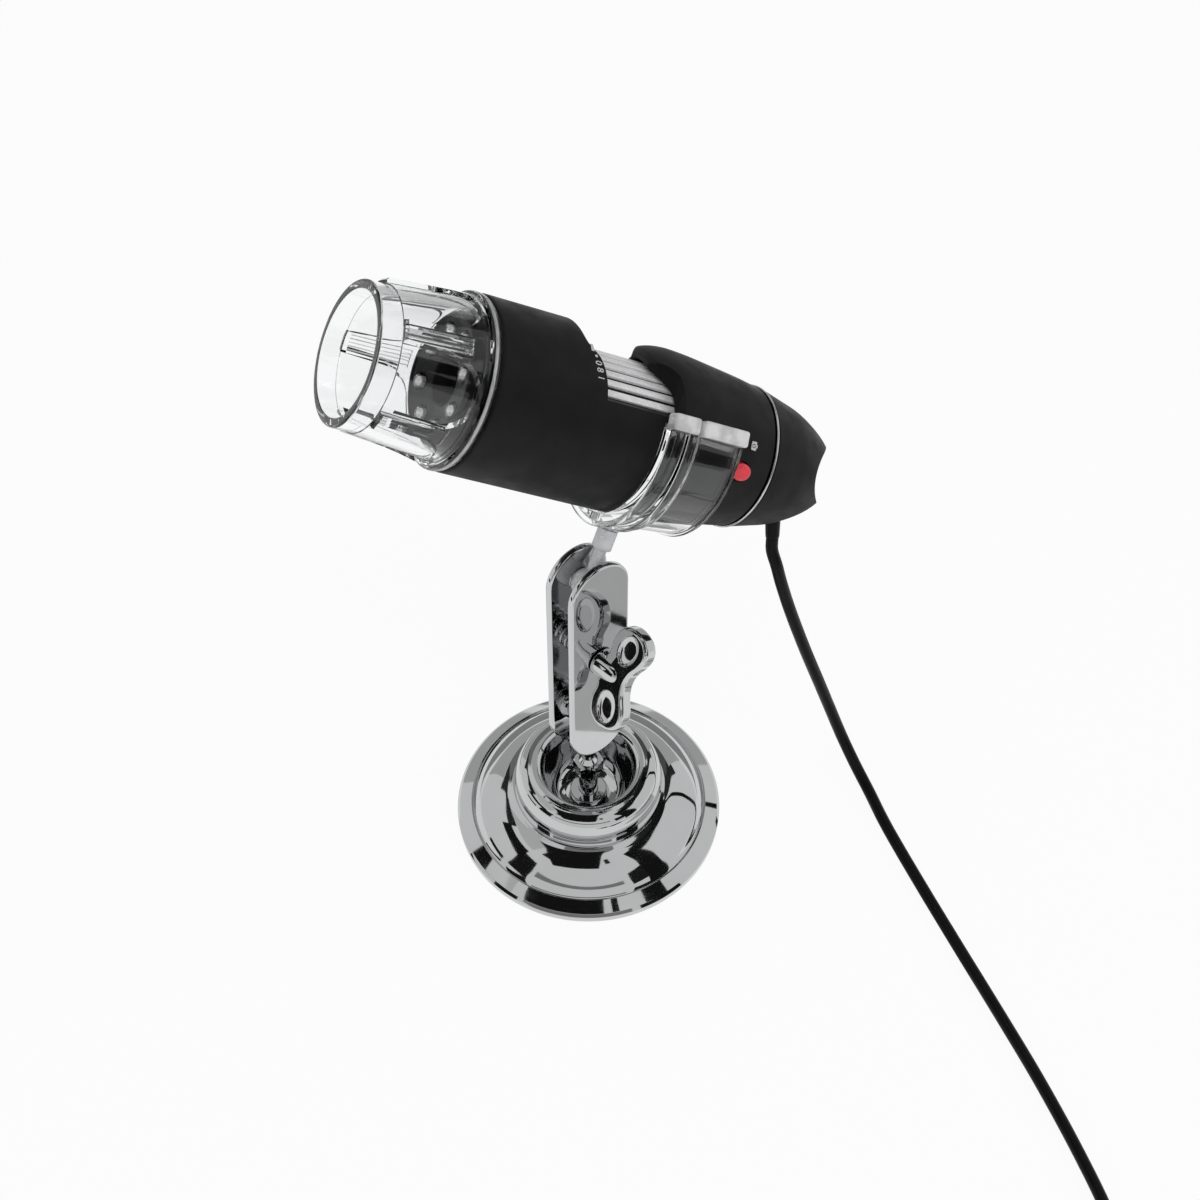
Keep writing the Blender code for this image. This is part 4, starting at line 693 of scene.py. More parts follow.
class SCOPE_OT_wing_nut(Operator):
    """Chrome wing nut with rounded wings and a dished oval on each face of each wing"""
    bl_idname = "scope.wing_nut"
    bl_label = "Wing nut"

    def execute(self, context):
        s = context.scene.scope_stand
        span, thick = s.wing_span / MM, s.wing_thickness / MM
        foot = PLATE_INNER + s.plate_thickness / MM + 0.3
        base, tall = 1.6, 9.6
        half = [(span * a, base + tall * b) for a, b in WING_SHARES]
        outline = flowing(mirrored(half), 6, closed=True)
        flat = WING @ shift(0, 0, foot) @ UPRIGHT
        nut = slab("wing_nut_body", outline, -thick / 2, thick / 2, flat)
        ease(nut, 0.8, 5, 50)
        hub = turned("hub", [(0, foot), (3.1, foot, 0.15)] + flowing(
            [(3.05, foot + 0.5), (2.75, foot + 2.0), (2.4, foot + 4.2), (1.9, foot + 5.9), (1.0, foot + 6.7),
             (0, foot + 6.9)], 5), WING, 64)
        join(nut, hub)
        cutters = [rod("bore", 1.75, foot - 1, foot + 5.5, WING)]
        dish = flowing([(0, -0.72), (0.55, -0.70), (0.80, -0.58), (0.94, -0.34), (1.0, 0.0), (1.06, 0.25)], 4)
        dish += [(1.06, 1.0), (0, 1.0)]
        aside, slant, oval = 6.8, 12, Matrix.Diagonal((3.7, 2.6, 1.0, 1.0))
        for side in (-1, 1):
            for face in (-1, 1):
                place = (flat @ shift(side * aside, base + tall / 2, thick / 2 * face) @ turn(side * slant, "Z")
                         @ turn(0 if face > 0 else 180, "X") @ oval)
                cutters.append(turned(f"dish_{side}_{face}", dish, place, 72))
        cut(nut, *cutters)
        dress(nut, "wing", "chrome", "chrome", "wing_nut", limit=42)
        return {"FINISHED"}


# Stem and cradle
class SCOPE_OT_stem(Operator):
    """Milky stem with the upper ball and its thin neck"""
    bl_idname = "scope.stem"
    bl_label = "Ball stem"

    def execute(self, context):
        ball = context.scene.scope_stand.ball_radius / MM
        outline = ball_outline(ball, 0.0, NECK, -1)
        outline[0] = (0, -ball)
        outline += [(NECK, 4.0), (NECK, 7.8, 0.25), (2.05, 7.8, 0.4), (2.05, 12.15, 0.15), (NECK, 12.15),
                    (NECK, 15.05), (0, 15.05)]
        dress(turned("milky_stem", outline, STEM, 64), "stem", "milky_plastic", "milky", "ball_stem",
              limit=34)
        return {"FINISHED"}


class SCOPE_OT_cradle(Operator):
    """Clear C-shaped cradle with its ribs, boss and split lips"""
    bl_idname = "scope.cradle"
    bl_label = "Clear cradle"

    def execute(self, context):
        bore = context.scene.scope_barrel.sleeve_radius / MM + 0.35
        front = bore + context.scene.scope_barrel.cradle_wall / MM
        rear, rib, bead = front - 0.7, front + 1.2, front + 0.5
        outline = [(bore, 35.3, 0.2), (rib, 35.3, 0.35), (rib, 36.9, 0.3), (front, 36.9, 0.3), (front, 39.5, 0.3),
                   (rib, 39.5, 0.35), (rib, 41.1, 0.35), (front, 41.1, 0.25), (front, 42.2, 0.2),
                   (bead, 42.2, 0.2), (bead, 42.9, 0.2), (front, 42.9, 0.2), (rear, 51.9, 0.2),
                   (rear + 0.5, 51.9, 0.2), (rear + 0.5, 52.6, 0.2), (bore - 0.7, 52.6, 0.2),
                   (bore - 0.7, 51.9), (bore, 39.0)]
        opening, long, wide = 70, 3.3, 3.2
        cradle = turned("clear_cradle", outline, BARREL, 168, (opening, 360 - opening))
        lips = []
        for side in (-1, 1):
            for low, high in ((35.55, 41.3), (42.2, 52.35)):
                middle = shift(bore + 0.3 + long / 2, side * -0.61, (low + high) / 2)
                place = BARREL @ turn(side * opening, "Z") @ middle
                lips.append(block(f"lip_{side}_{round(low)}", (long, wide, high - low), (0, 0, 0), place, 0.62))
        boss = turned("boss", [(0, 12.45), (2.75, 12.45, 0.35), (2.75, 15.05), (0, 15.05)], STEM, 64)
        # The lips take the brighter, milky copy of the clear plastic: painted highlight where light bends through
        # their thick clear edges
        dress(group("cradle_lips", lips), "cradle", "milky_plastic", "painted_highlight_clear")
        join(cradle, boss)
        cut(cradle, rod("boss_hole", 1.6, 11, 16, STEM))
        dress(cradle, "cradle", "clear_plastic", "clear", "cradle", limit=40)
        return {"FINISHED"}


# Barrel
BUTTON_SPOT = on_barrel(88, 15.25, 55.6)
BUTTON_LONG, BUTTON_SHORT = 2.15, 1.75


def window_tool(name, half, sleeve):
    """Cutter for the focus window: half of its outline as (share of the sleeve's radius, along)."""
    whole = mirrored([(sleeve * share, along) for share, along in half])
    return slab(name, whole, 7.2, sleeve + 1.5, BARREL @ ALONG_X)


class SCOPE_OT_sleeve(Operator):
    """Soft black front sleeve with the shaped focus window"""
    bl_idname = "scope.sleeve"
    bl_label = "Front sleeve"

    def execute(self, context):
        sleeve = context.scene.scope_barrel.sleeve_radius / MM
        outline = [(sleeve - 1.6, 0.3, 0.15), (sleeve, 0.3, 0.5), (sleeve, 10.0), (sleeve, 19.0), (sleeve, 28.0),
                   (sleeve, 38.0, 0.1), (sleeve - 1.6, 38.0)]
        ob = turned("black_sleeve", outline, BARREL, 192)
        half = flowing([(0.0, 18.3), (0.22, 18.38), (0.42, 18.75), (0.52, 19.8), (0.62, 21.2), (0.78, 22.2),
                        (0.92, 22.65), (1.05, 22.75), (1.05, 39.0)], 8)
        cut(ob, window_tool("window", half, sleeve))
        tidy(ob, 0.06)
        ease(ob, 0.35, 3, 45)
        dress(ob, "head", "sleeve_rubber", "soft_black", "front_sleeve", limit=38)
        return {"FINISHED"}


class SCOPE_OT_housing(Operator):
    """Soft black rear housing whose raised lip closes the focus window, and the chrome trim ring"""
    bl_idname = "scope.housing"
    bl_label = "Rear housing and trim"

    def execute(self, context):
        sleeve = context.scene.scope_barrel.sleeve_radius / MM
        outline = [(13.3, 35.0, 0.15), (14.2, 35.0, 0.3)]
        outline += flowing([(14.55, 35.3), (15.4, 36.04), (16.07, 37.34), (16.48, 39.2), (16.6, 41.5),
                            (16.35, 45.8), (15.7, 52.0), (15.05, 57.8), (14.3, 62.8)], 6)[1:-1]
        outline += [(14.3, 62.8, 0.25), (12.8, 62.8), (14.2, 52.0), (14.9, 43.1), (13.3, 43.1)]
        ob = turned("black_rear_housing", outline, BARREL, 192)
        ledge, seam, back = 7.5, 38.3, -sleeve - 1
        size, centre = (ledge - back, sleeve * 2 + 4, seam), ((ledge + back) / 2, 0, seam / 2)
        cut(ob, block("below_window", size, centre, BARREL))
        half = [(1.05, 0.0)] + flowing([(1.05, 40.0), (0.72, 39.9), (0.60, 39.6), (0.50, 39.1), (0.38, 37.3),
                                        (0.26, 35.5), (0.14, 34.5), (0.0, 34.3)], 7)
        cut(ob, window_tool("window_rear", half, sleeve))
        gap = 0.3
        cut(ob, slab("button_hole", ellipse(BUTTON_SHORT + gap, BUTTON_LONG + gap), -4, 3,
                     BUTTON_SPOT @ turn(90, "Z")))
        tidy(ob, 0.05)
        ease(ob, 0.5, 4, 48)
        dress(ob, "head", "housing_plastic", "soft_black", "rear_housing", limit=38)
        ring = [(12.8, 63.1), (14.55, 63.1, 0.2), (14.55, 63.6, 0.2), (12.8, 63.6)]
        dress(turned("chrome_trim_ring", ring, BARREL, 160), "head", "chrome", "chrome", "trim_ring",
              limit=50)
        return {"FINISHED"}


TAIL_SHARES = [(1.0, 0.0), (0.935, 0.13), (0.87, 0.26), (0.78, 0.43), (0.64, 0.60), (0.44, 0.78), (0.22, 0.92),
               (0.0, 1.0)]
GLAND = BARREL @ facing(Vector((0, 1, 0)), Vector((-math.cos(GLAND_SLANT), 0.0, math.sin(GLAND_SLANT))),
                        Vector((-9.967, 0.0, 77.5)) * MM)
RELIEF_END, RELIEF_RADIUS = 4.8, 1.6


class SCOPE_OT_tail(Operator):
    """Rounded tail with its scoop, and the cord's slim relief"""
    bl_idname = "scope.tail"
    bl_label = "Tail and cord relief"

    def execute(self, context):
        start, end, tip, wide = 63.9, 84.2, 4.4, 14.3
        outer = flowing([(tip + (wide - tip) * r, start + (end - start) * z) for r, z in TAIL_SHARES], 6)
        outline = [(wide - 1.5, start)] + outer + [(0, end), (0, 76.1), (8.6, 76.1), (10.4, 73.5)]
        ob = turned("black_tail", [(p[0], p[1], 0.5) if i == len(outer) else p for i, p in enumerate(outline)],
                    BARREL, 160)
        scoop, depth = 6.3, 4.9
        cut(ob, rod("scoop", scoop, -18, 18,
                    BARREL @ shift(1.2, 0, end - depth + scoop) @ turn(-10, "Z") @ turn(-105, "X"), 160))
        cut(ob, rod("gland_hole", RELIEF_RADIUS + 0.15, -4, 5, GLAND))
        tidy(ob, 0.04)
        ease(ob, 0.3, 3, 40)
        dress(ob, "head", "housing_plastic", "soft_black", "tail_cap", limit=38)
        relief = [(0, RELIEF_END), (1.4, RELIEF_END, 0.2)]
        relief += flowing([(1.45, 4.2), (1.52, 2.4), (RELIEF_RADIUS, 0.0)], 4)
        relief += [(RELIEF_RADIUS, -3.0, 0.2), (0, -3.0)]
        dress(turned("slim_cord_relief", relief, GLAND, 64), "head", "sleeve_rubber", "cord",
              "cable_gland", limit=50)
        return {"FINISHED"}


class SCOPE_OT_wheel(Operator):
    """Silver focus wheel with wide flat ribs and thin grooves"""
    bl_idname = "scope.wheel"
    bl_label = "Focus wheel"

    def execute(self, context):
        s = context.scene.scope_barrel
        radius, ribs = s.wheel_radius / MM, s.wheel_ribs
        section = [(0.02, 0.10), (0.05, 0.02), (0.17, -0.02), (0.32, -0.03), (0.47, -0.02), (0.60, 0.02),
                   (0.64, 0.12), (0.69, 0.85), (0.73, 1.0), (0.86, 1.0), (0.90, 0.85), (0.98, 0.25)]
        bm = bmesh.new()
        first, last, bore, groove = 17.0, 42.4, 10.05, 0.85
        stations = [(first, 0.45), (17.15, 0.15), (17.4, 0.0), (25.0, 0.0), (34.0, 0.0), (42.0, 0.0),
                    (42.25, 0.15), (last, 0.45)]
        rings = []
        for z, drop in stations:
            ring = []
            for i in range(ribs):
                for share, depth in section:
                    a = math.tau * (i + share) / ribs
                    r = radius - 0.03 - drop - groove * depth
                    ring.append(bm.verts.new((r * math.cos(a), r * math.sin(a), z)))
            rings.append(ring)
        for z in (last, first):
            rings.append([bm.verts.new((bore * v.co.x / v.co.xy.length, bore * v.co.y / v.co.xy.length, z))
                          for v in rings[0]])
        skin(bm, rings + rings[:1], capped=False)
        dress(piece("ribbed_focus_wheel", bm, BARREL), "wheel", "silver_wheel", "silver",
              "focus_wheel", limit=32)
        # A black sleeve just under the ribs shows as the floor of the deeper grooves: painted shade for the darkness
        # in the grooves
        floor = radius - 0.55
        dress(turned("dark_groove_floors", [(floor - 0.6, 17.5), (floor, 17.5), (floor, 41.9), (floor - 0.6, 41.9)],
                     BARREL, 144), "wheel", "housing_plastic", "inner_black")
        return {"FINISHED"}


class SCOPE_OT_core(Operator):
    """Inner tube, lens carriage with its pin, lens, and the electronics inside"""
    bl_idname = "scope.core"
    bl_label = "Core, lens and electronics"

    def execute(self, context):
        bore, skin, collar = 8.4, 9.7, 14.4
        core = turned("wheel_core_tube", [
            (bore, 2.2, 0.2), (skin, 2.2, 0.2), (skin, 43.5), (collar, 43.5, 0.2), (collar, 44.9, 0.2), (skin, 44.9),
            (skin, 49.3), (bore, 49.3)], BARREL, 96)
        cut(core, block("slot", (skin, 1.8, 12.8), (skin, 0, 27.0), BARREL))
        dress(core, "head", "housing_plastic", "inner_black", "core_tube", limit=35)
        carriage = turned("carriage_body", [
            (5.6, 14.0, 0.15), (8.05, 14.0, 0.3), (8.05, 26.0, 0.3), (4.2, 26.0, 0.2), (4.2, 17.9), (5.6, 17.9)],
            BARREL, 96)
        join(carriage, turned("pin", [(0, 5.6), (0.6, 5.6), (0.6, 9.75, 0.15), (0, 9.75)],
                              BARREL @ shift(0, 0, 22.5) @ turn(90, "Y"), 32))
        dress(carriage, "carriage", "housing_plastic", "inner_black", "lens_carriage", limit=35)
        lens = [(0, 14.41)] + [(5.3 * math.sin(a), 15.4 - 0.99 * math.cos(a))
                               for a in (math.pi / 2 * i / 12 for i in range(1, 13))]
        lens += [(5.3, 17.6, 0.2), (0, 17.6)]
        dress(turned("front_lens", lens, BARREL, 96), "carriage", "lens_glass", "glass",
              "objective_lens", limit=35)
        paint("sensor_board", "board")
        paint("image_sensor", "glass")
        paint("button_switch", "inner_black")
        return {"FINISHED"}


class SCOPE_OT_lamps(Operator):
    """Dished black holder with its ring of lamps"""
    bl_idname = "scope.lamps"
    bl_label = "Lamp ring"

    def execute(self, context):
        holder = turned("black_lamp_holder", [
            (5.0, -2.8, 0.3), (11.5, -3.8, 0.2), (11.8, -4.0, 0.1), (12.6, -4.0, 0.3), (12.6, 1.9, 0.3),
            (5.0, 1.9, 0.3)], BARREL, 128)
        holes, lamps = [], []
        count, ring, hole, lamp, rise = 8, 9.0, 1.8, 1.5, 1.1
        for i in range(count):
            a = math.tau * (i + 0.5) / count
            place = BARREL @ shift(ring * math.cos(a), ring * math.sin(a), -3.46)
            holes.append(rod(f"hole_{i + 1}", hole, -2, 4.3, place, 40))
            bend = [math.pi / 2 * k / 10 for k in range(11)]
            dome = [(0, -rise)] + [(lamp * math.sin(b), -rise * math.cos(b)) for b in bend[1:]]
            lamps.append((place, dome + [(lamp, 4.0), (0, 4.0)]))
        cut(holder, *holes)
        dress(holder, "head", "housing_plastic", "inner_black", "lamp_holder", limit=35)
        cup = [(0, 0.5), (0.25, 0.5), (0.6, 0.0), (0.72, 0.0), (0.72, 1.4), (0, 1.4)]
        cups = [turned(f"cup_{i + 1}", cup, place, 32) for i, (place, _) in enumerate(lamps)]
        dress(group("lamp_cups", cups), "head", "chrome", "white_metal")
        for i, (place, outline) in enumerate(lamps):
            dress(turned(f"lamp_dome_{i + 1}", outline, place, 40), "head", "lamp_lens", "lamp",
                  f"lamp_{i + 1}")
        return {"FINISHED"}


# The hood's pockets, the direction of the first, and the grooves in the bore behind each rail, in degrees
POCKETS, FIRST_POCKET = 5, 87
GROOVES = (-6.4, -3.2, 0.0, 3.2, 6.4)


def pocket_tool(name, degrees, floor_low, floor_high, front, rear, half_width, flare):
    """A U-shaped cutter with sloped walls, whose floor follows the hood's round skin."""
    bm = bmesh.new()
    rows = [(front, 1.0, 0.0), (front + (rear - front) * 0.3, 1.0, 0.0), (front + (rear - front) * 0.5, 1.0, 0.0)]
    bend = front + (rear - front) * 0.55
    for i in range(1, 15):
        a = math.pi / 2 * i / 14.6
        rows.append((bend + (rear - bend) * math.sin(a), math.cos(a) ** 0.62, a))
    columns = 16
    layers = []
    for top in (0, 1):
        grid = []
        for z, share, a in rows:
            floor = floor_low + (floor_high - floor_low) * (z - front) / (rear - front)
            r = floor + 4.0 if top else floor
            half = half_width * share / floor + (flare * math.cos(a) ** 0.5 / floor if top else 0.0)
            grid.append([bm.verts.new((r * math.cos(half * c), r * math.sin(half * c),
                                       z + (flare * math.sin(a) if top else 0.0)))
                         for c in (2 * k / columns - 1 for k in range(columns + 1))])
        layers.append(grid)
    for grid in layers:
        for a, b in zip(grid, grid[1:]):
            strip(bm, a, b, False)
    low, high = layers
    for row in (0, -1):
        strip(bm, low[row], high[row], False)
    for k in (0, columns):
        strip(bm, [row[k] for row in low], [row[k] for row in high], False)
    return piece(name, bm, BARREL @ turn(degrees, "Z"))


class SCOPE_OT_hood(Operator):
    """Clear nose hood with its front ring, five rails, U-shaped pockets and flange"""
    bl_idname = "scope.hood"
    bl_label = "Clear hood"

    def execute(self, context):
        s = context.scene.scope_barrel
        ring, depth = s.hood_front_radius / MM, s.pocket_depth / MM
        outline = [(11.9, -22.5, 0.3), (ring, -22.5, 0.5), (ring, -18.2, 0.12), (14.55, -18.2, 0.1),
                   (15.0, -17.75, 0.2), (16.25, -2.1, 0.15), (17.0, -1.7, 0.7), (17.0, 0.0, 0.7), (15.1, 0.0, 0.1),
                   (15.1, 3.2, 0.2), (14.0, 3.2, 0.2), (14.0, -1.7), (13.2, -5.0), (11.9, -18.2)]
        hood = turned("clear_hood", outline, BARREL, 192)
        cutters, apart = [], 360 / POCKETS
        for i in range(POCKETS):
            cutters.append(pocket_tool(f"pocket_{i + 1}", FIRST_POCKET + apart * i, 15.0 - depth, 16.4 - depth,
                                       front=-19.2, rear=-3.3, half_width=6.5, flare=1.6))
        for i in range(POCKETS):
            for aside in GROOVES:
                bm = bmesh.new()
                ends = [[bm.verts.new(corner) for corner in ((bore - 1.0, -1.16, z), (bore - 1.0, 0.8, z),
                                                             (bore + 0.45, 0.0, z))]
                        for bore, z in ((12.2, -17.6), (13.5, -4.4))]
                skin(bm, ends)
                place = BARREL @ turn(FIRST_POCKET + apart * (i + 0.5) + aside, "Z")
                cutters.append(piece(f"groove_{i}_{aside}", bm, place))
        cut(hood, *cutters)
        tidy(hood, 0.03)
        ease(hood, 0.16, 2, 42)
        dress(hood, "hood", "clear_plastic", "clear", "nose_hood", limit=38)
        # A thin milky band on the flange's rounded rim: painted highlight for the bright line that light bent
        # through the clear edge gives
        edge = [(16.75, -1.3), (16.98, -1.15, 0.08), (16.98, -0.75, 0.08), (16.75, -0.6)]
        dress(turned("hood_bright_edge", edge, BARREL, 160), "hood", "milky_plastic", "painted_highlight_clear")
        return {"FINISHED"}


class SCOPE_OT_button(Operator):
    """Red snapshot button, and the small marks printed beside it and at the focus window"""
    bl_idname = "scope.button"
    bl_label = "Button and marks"

    def execute(self, context):
        bm = bmesh.new()
        rings = [[bm.verts.new((x, y, z)) for x, y in ellipse(BUTTON_LONG * share, BUTTON_SHORT * share)]
                 for z, share in ((-3.3, 1.0), (-0.2, 1.0), (0.45, 1.0), (0.62, 0.985), (0.76, 0.94), (0.85, 0.86),
                                  (0.9, 0.72), (0.9, 0.4))]
        skin(bm, rings)
        dress(piece("red_button", bm, BUTTON_SPOT), "button", "button_red", "red", "snap_button")
        self.marks()
        return {"FINISHED"}

    def marks(self):
        """Ink that lies a little in the skin and a little over it."""
        lens = on_barrel(67.7, 15.36, 57.2) @ turn(-90, "Z")
        corners = [(-0.85, -0.55, 0.15), (0.85, -0.55, 0.15), (0.85, 0.55, 0.15), (-0.85, 0.55, 0.15)]
        body = slab("mark_body", corners, -0.12, 0.05, lens)
        cut(body, turned("mark_ring", [(0.24, -1), (0.42, -1), (0.42, 1), (0.24, 1)], lens, 32))
        top = slab("mark_top", [(-0.35, 0.6), (0.35, 0.6), (0.28, 0.8), (-0.28, 0.8)], -0.12, 0.05, lens)
        dress(group("snapshot_mark", [body, top], lens), "head", "housing_plastic", "ink")
        parts = []
        for degrees, along, shape in ((31.0, 19.5, "pointer"), (37.0, 20.06, "dot"), (42.0, 20.32, "0"),
                                      (46.8, 20.57, "8"), (52.0, 20.78, "1")):
            spot = on_barrel(degrees, 17.0, along) @ turn(-90, "Z")
            if shape == "pointer":
                parts.append(slab("pointer", [(-0.95, -0.25), (0.75, -0.35), (0.75, 0.35), (-0.95, 0.25)],
                                  -0.1, 0.04, spot))
            elif shape == "dot":
                parts.append(slab("dot", ellipse(0.3, 0.3, 24), -0.1, 0.04, spot))
            else:
                parts.append(digit(shape, spot))
        dress(group("dial_marks", parts, BARREL), "head", "sleeve_rubber", "ink")


def digit(text, spot):
    """A small printed digit on the skin."""
    curve = bpy.data.curves.new("digit_" + text, "FONT")
    curve.body = text
    curve.size = 1.95 * MM
    curve.extrude = 0.07 * MM
    curve.align_x = curve.align_y = "CENTER"
    guide = placed("digit_guide", curve)
    bpy.context.view_layer.update()
    mesh = bpy.data.meshes.new_from_object(guide.evaluated_get(bpy.context.evaluated_depsgraph_get()))
    bpy.data.objects.remove(guide, do_unlink=True)
    mesh.materials.clear()
    ob = placed("digit_" + text, mesh)
    ob.matrix_world = spot
    return ob


# Cord
CORD_ROUTE = [
    (38.95, 18.95, 63.9), (40.05, 18.15, 59.6), (41.9, 17.45, 53.0), (43.9, 17.0, 46.4), (46.9, 16.4, 37.1),
    (50.2, 15.9, 27.4), (53.6, 15.1, 17.6), (56.8, 13.0, 9.6), (60.0, 8.8, 4.4),
    (63.0, 3.1, 1.9), (65.6, -3.9, 1.4), (68.5, -11.1, 1.35), (73.6, -23.0, 1.35),
    (79.8, -37.0, 1.35), (86.3, -51.5, 1.35), (92.6, -66.0, 1.35), (98.4, -81.0, 1.35),
    (102.9, -95.0, 1.5), (105.2, -108.0, 1.9)]
COIL_CENTRE = Vector((83.4, -125.0, 0.0))
COIL_MID, COIL_PITCH, COIL_RAMP, COIL_LIFT = 15.6, 3.1, 4.375, 0.7
PLUG_LONG, PLUG_WIDE, PLUG_HIGH, PLUG_RELIEF = 21.0, 15.6, 8.4, 9.0
SHELL_LONG, SHELL_WIDE, SHELL_HIGH, SHELL_OUT = 18.0, 12.0, 4.5, 12.4
SHORTEST = 0.03
# The joints that the free run crosses from the tail on, and where along it each stretch ends
CROSSINGS = [("head", "cradle"), ("cradle", "stem"), ("stem", "arm"), ("arm", "stud"), ("stud", "base")]
CROSSING_ENDS = (14.0, 34.0, 65.5, 100.0, 177.0)


def coil_line(radius):
    """The cord wound inward on the table and outward again on top of itself."""
    outer = COIL_MID + COIL_RAMP * COIL_PITCH / 2
    low = COIL_LIFT + radius
    total = COIL_RAMP * 2 + 0.5
    count = round(total * 40)
    start = COIL_CENTRE + Vector((outer, 0, low))
    points = [start + Vector((0, radius * 4, 0)), start + Vector((0, radius * 2, 0))]
    for i in range(count + 1):
        turns = total * i / count
        reach = outer - COIL_PITCH * (total / 2 - abs(turns - total / 2))
        climb = min(1.0, max(0.0, (turns - COIL_RAMP) * 2))
        a = -math.tau * turns
        points.append(COIL_CENTRE + Vector((reach * math.cos(a), reach * math.sin(a), low + COIL_PITCH * climb)))
    end = points[-1]
    plug = Vector((end.x - 14.0, end.y, PLUG_HIGH / 2))
    points += [end + Vector((-4.67, 0, 0)), plug + Vector((radius * 2, 0, 0)), plug]
    return points, plug


def measured(points):
    """The length of the line through the points."""
    return sum((b - a).length for a, b in zip(points, points[1:]))


def spaced(points, step):
    """The same line with its points evenly about step apart."""
    total = measured(points)
    count = max(2, round(total / step))
    made, walked, target = [points[0]], 0.0, total / count
    for a, b in zip(points, points[1:]):
        size = (b - a).length
        while walked + size >= target - 1e-9 and len(made) < count:
            made.append(a.lerp(b, (target - walked) / size))
            target += total / count
        walked += size
    return made + [points[-1]]


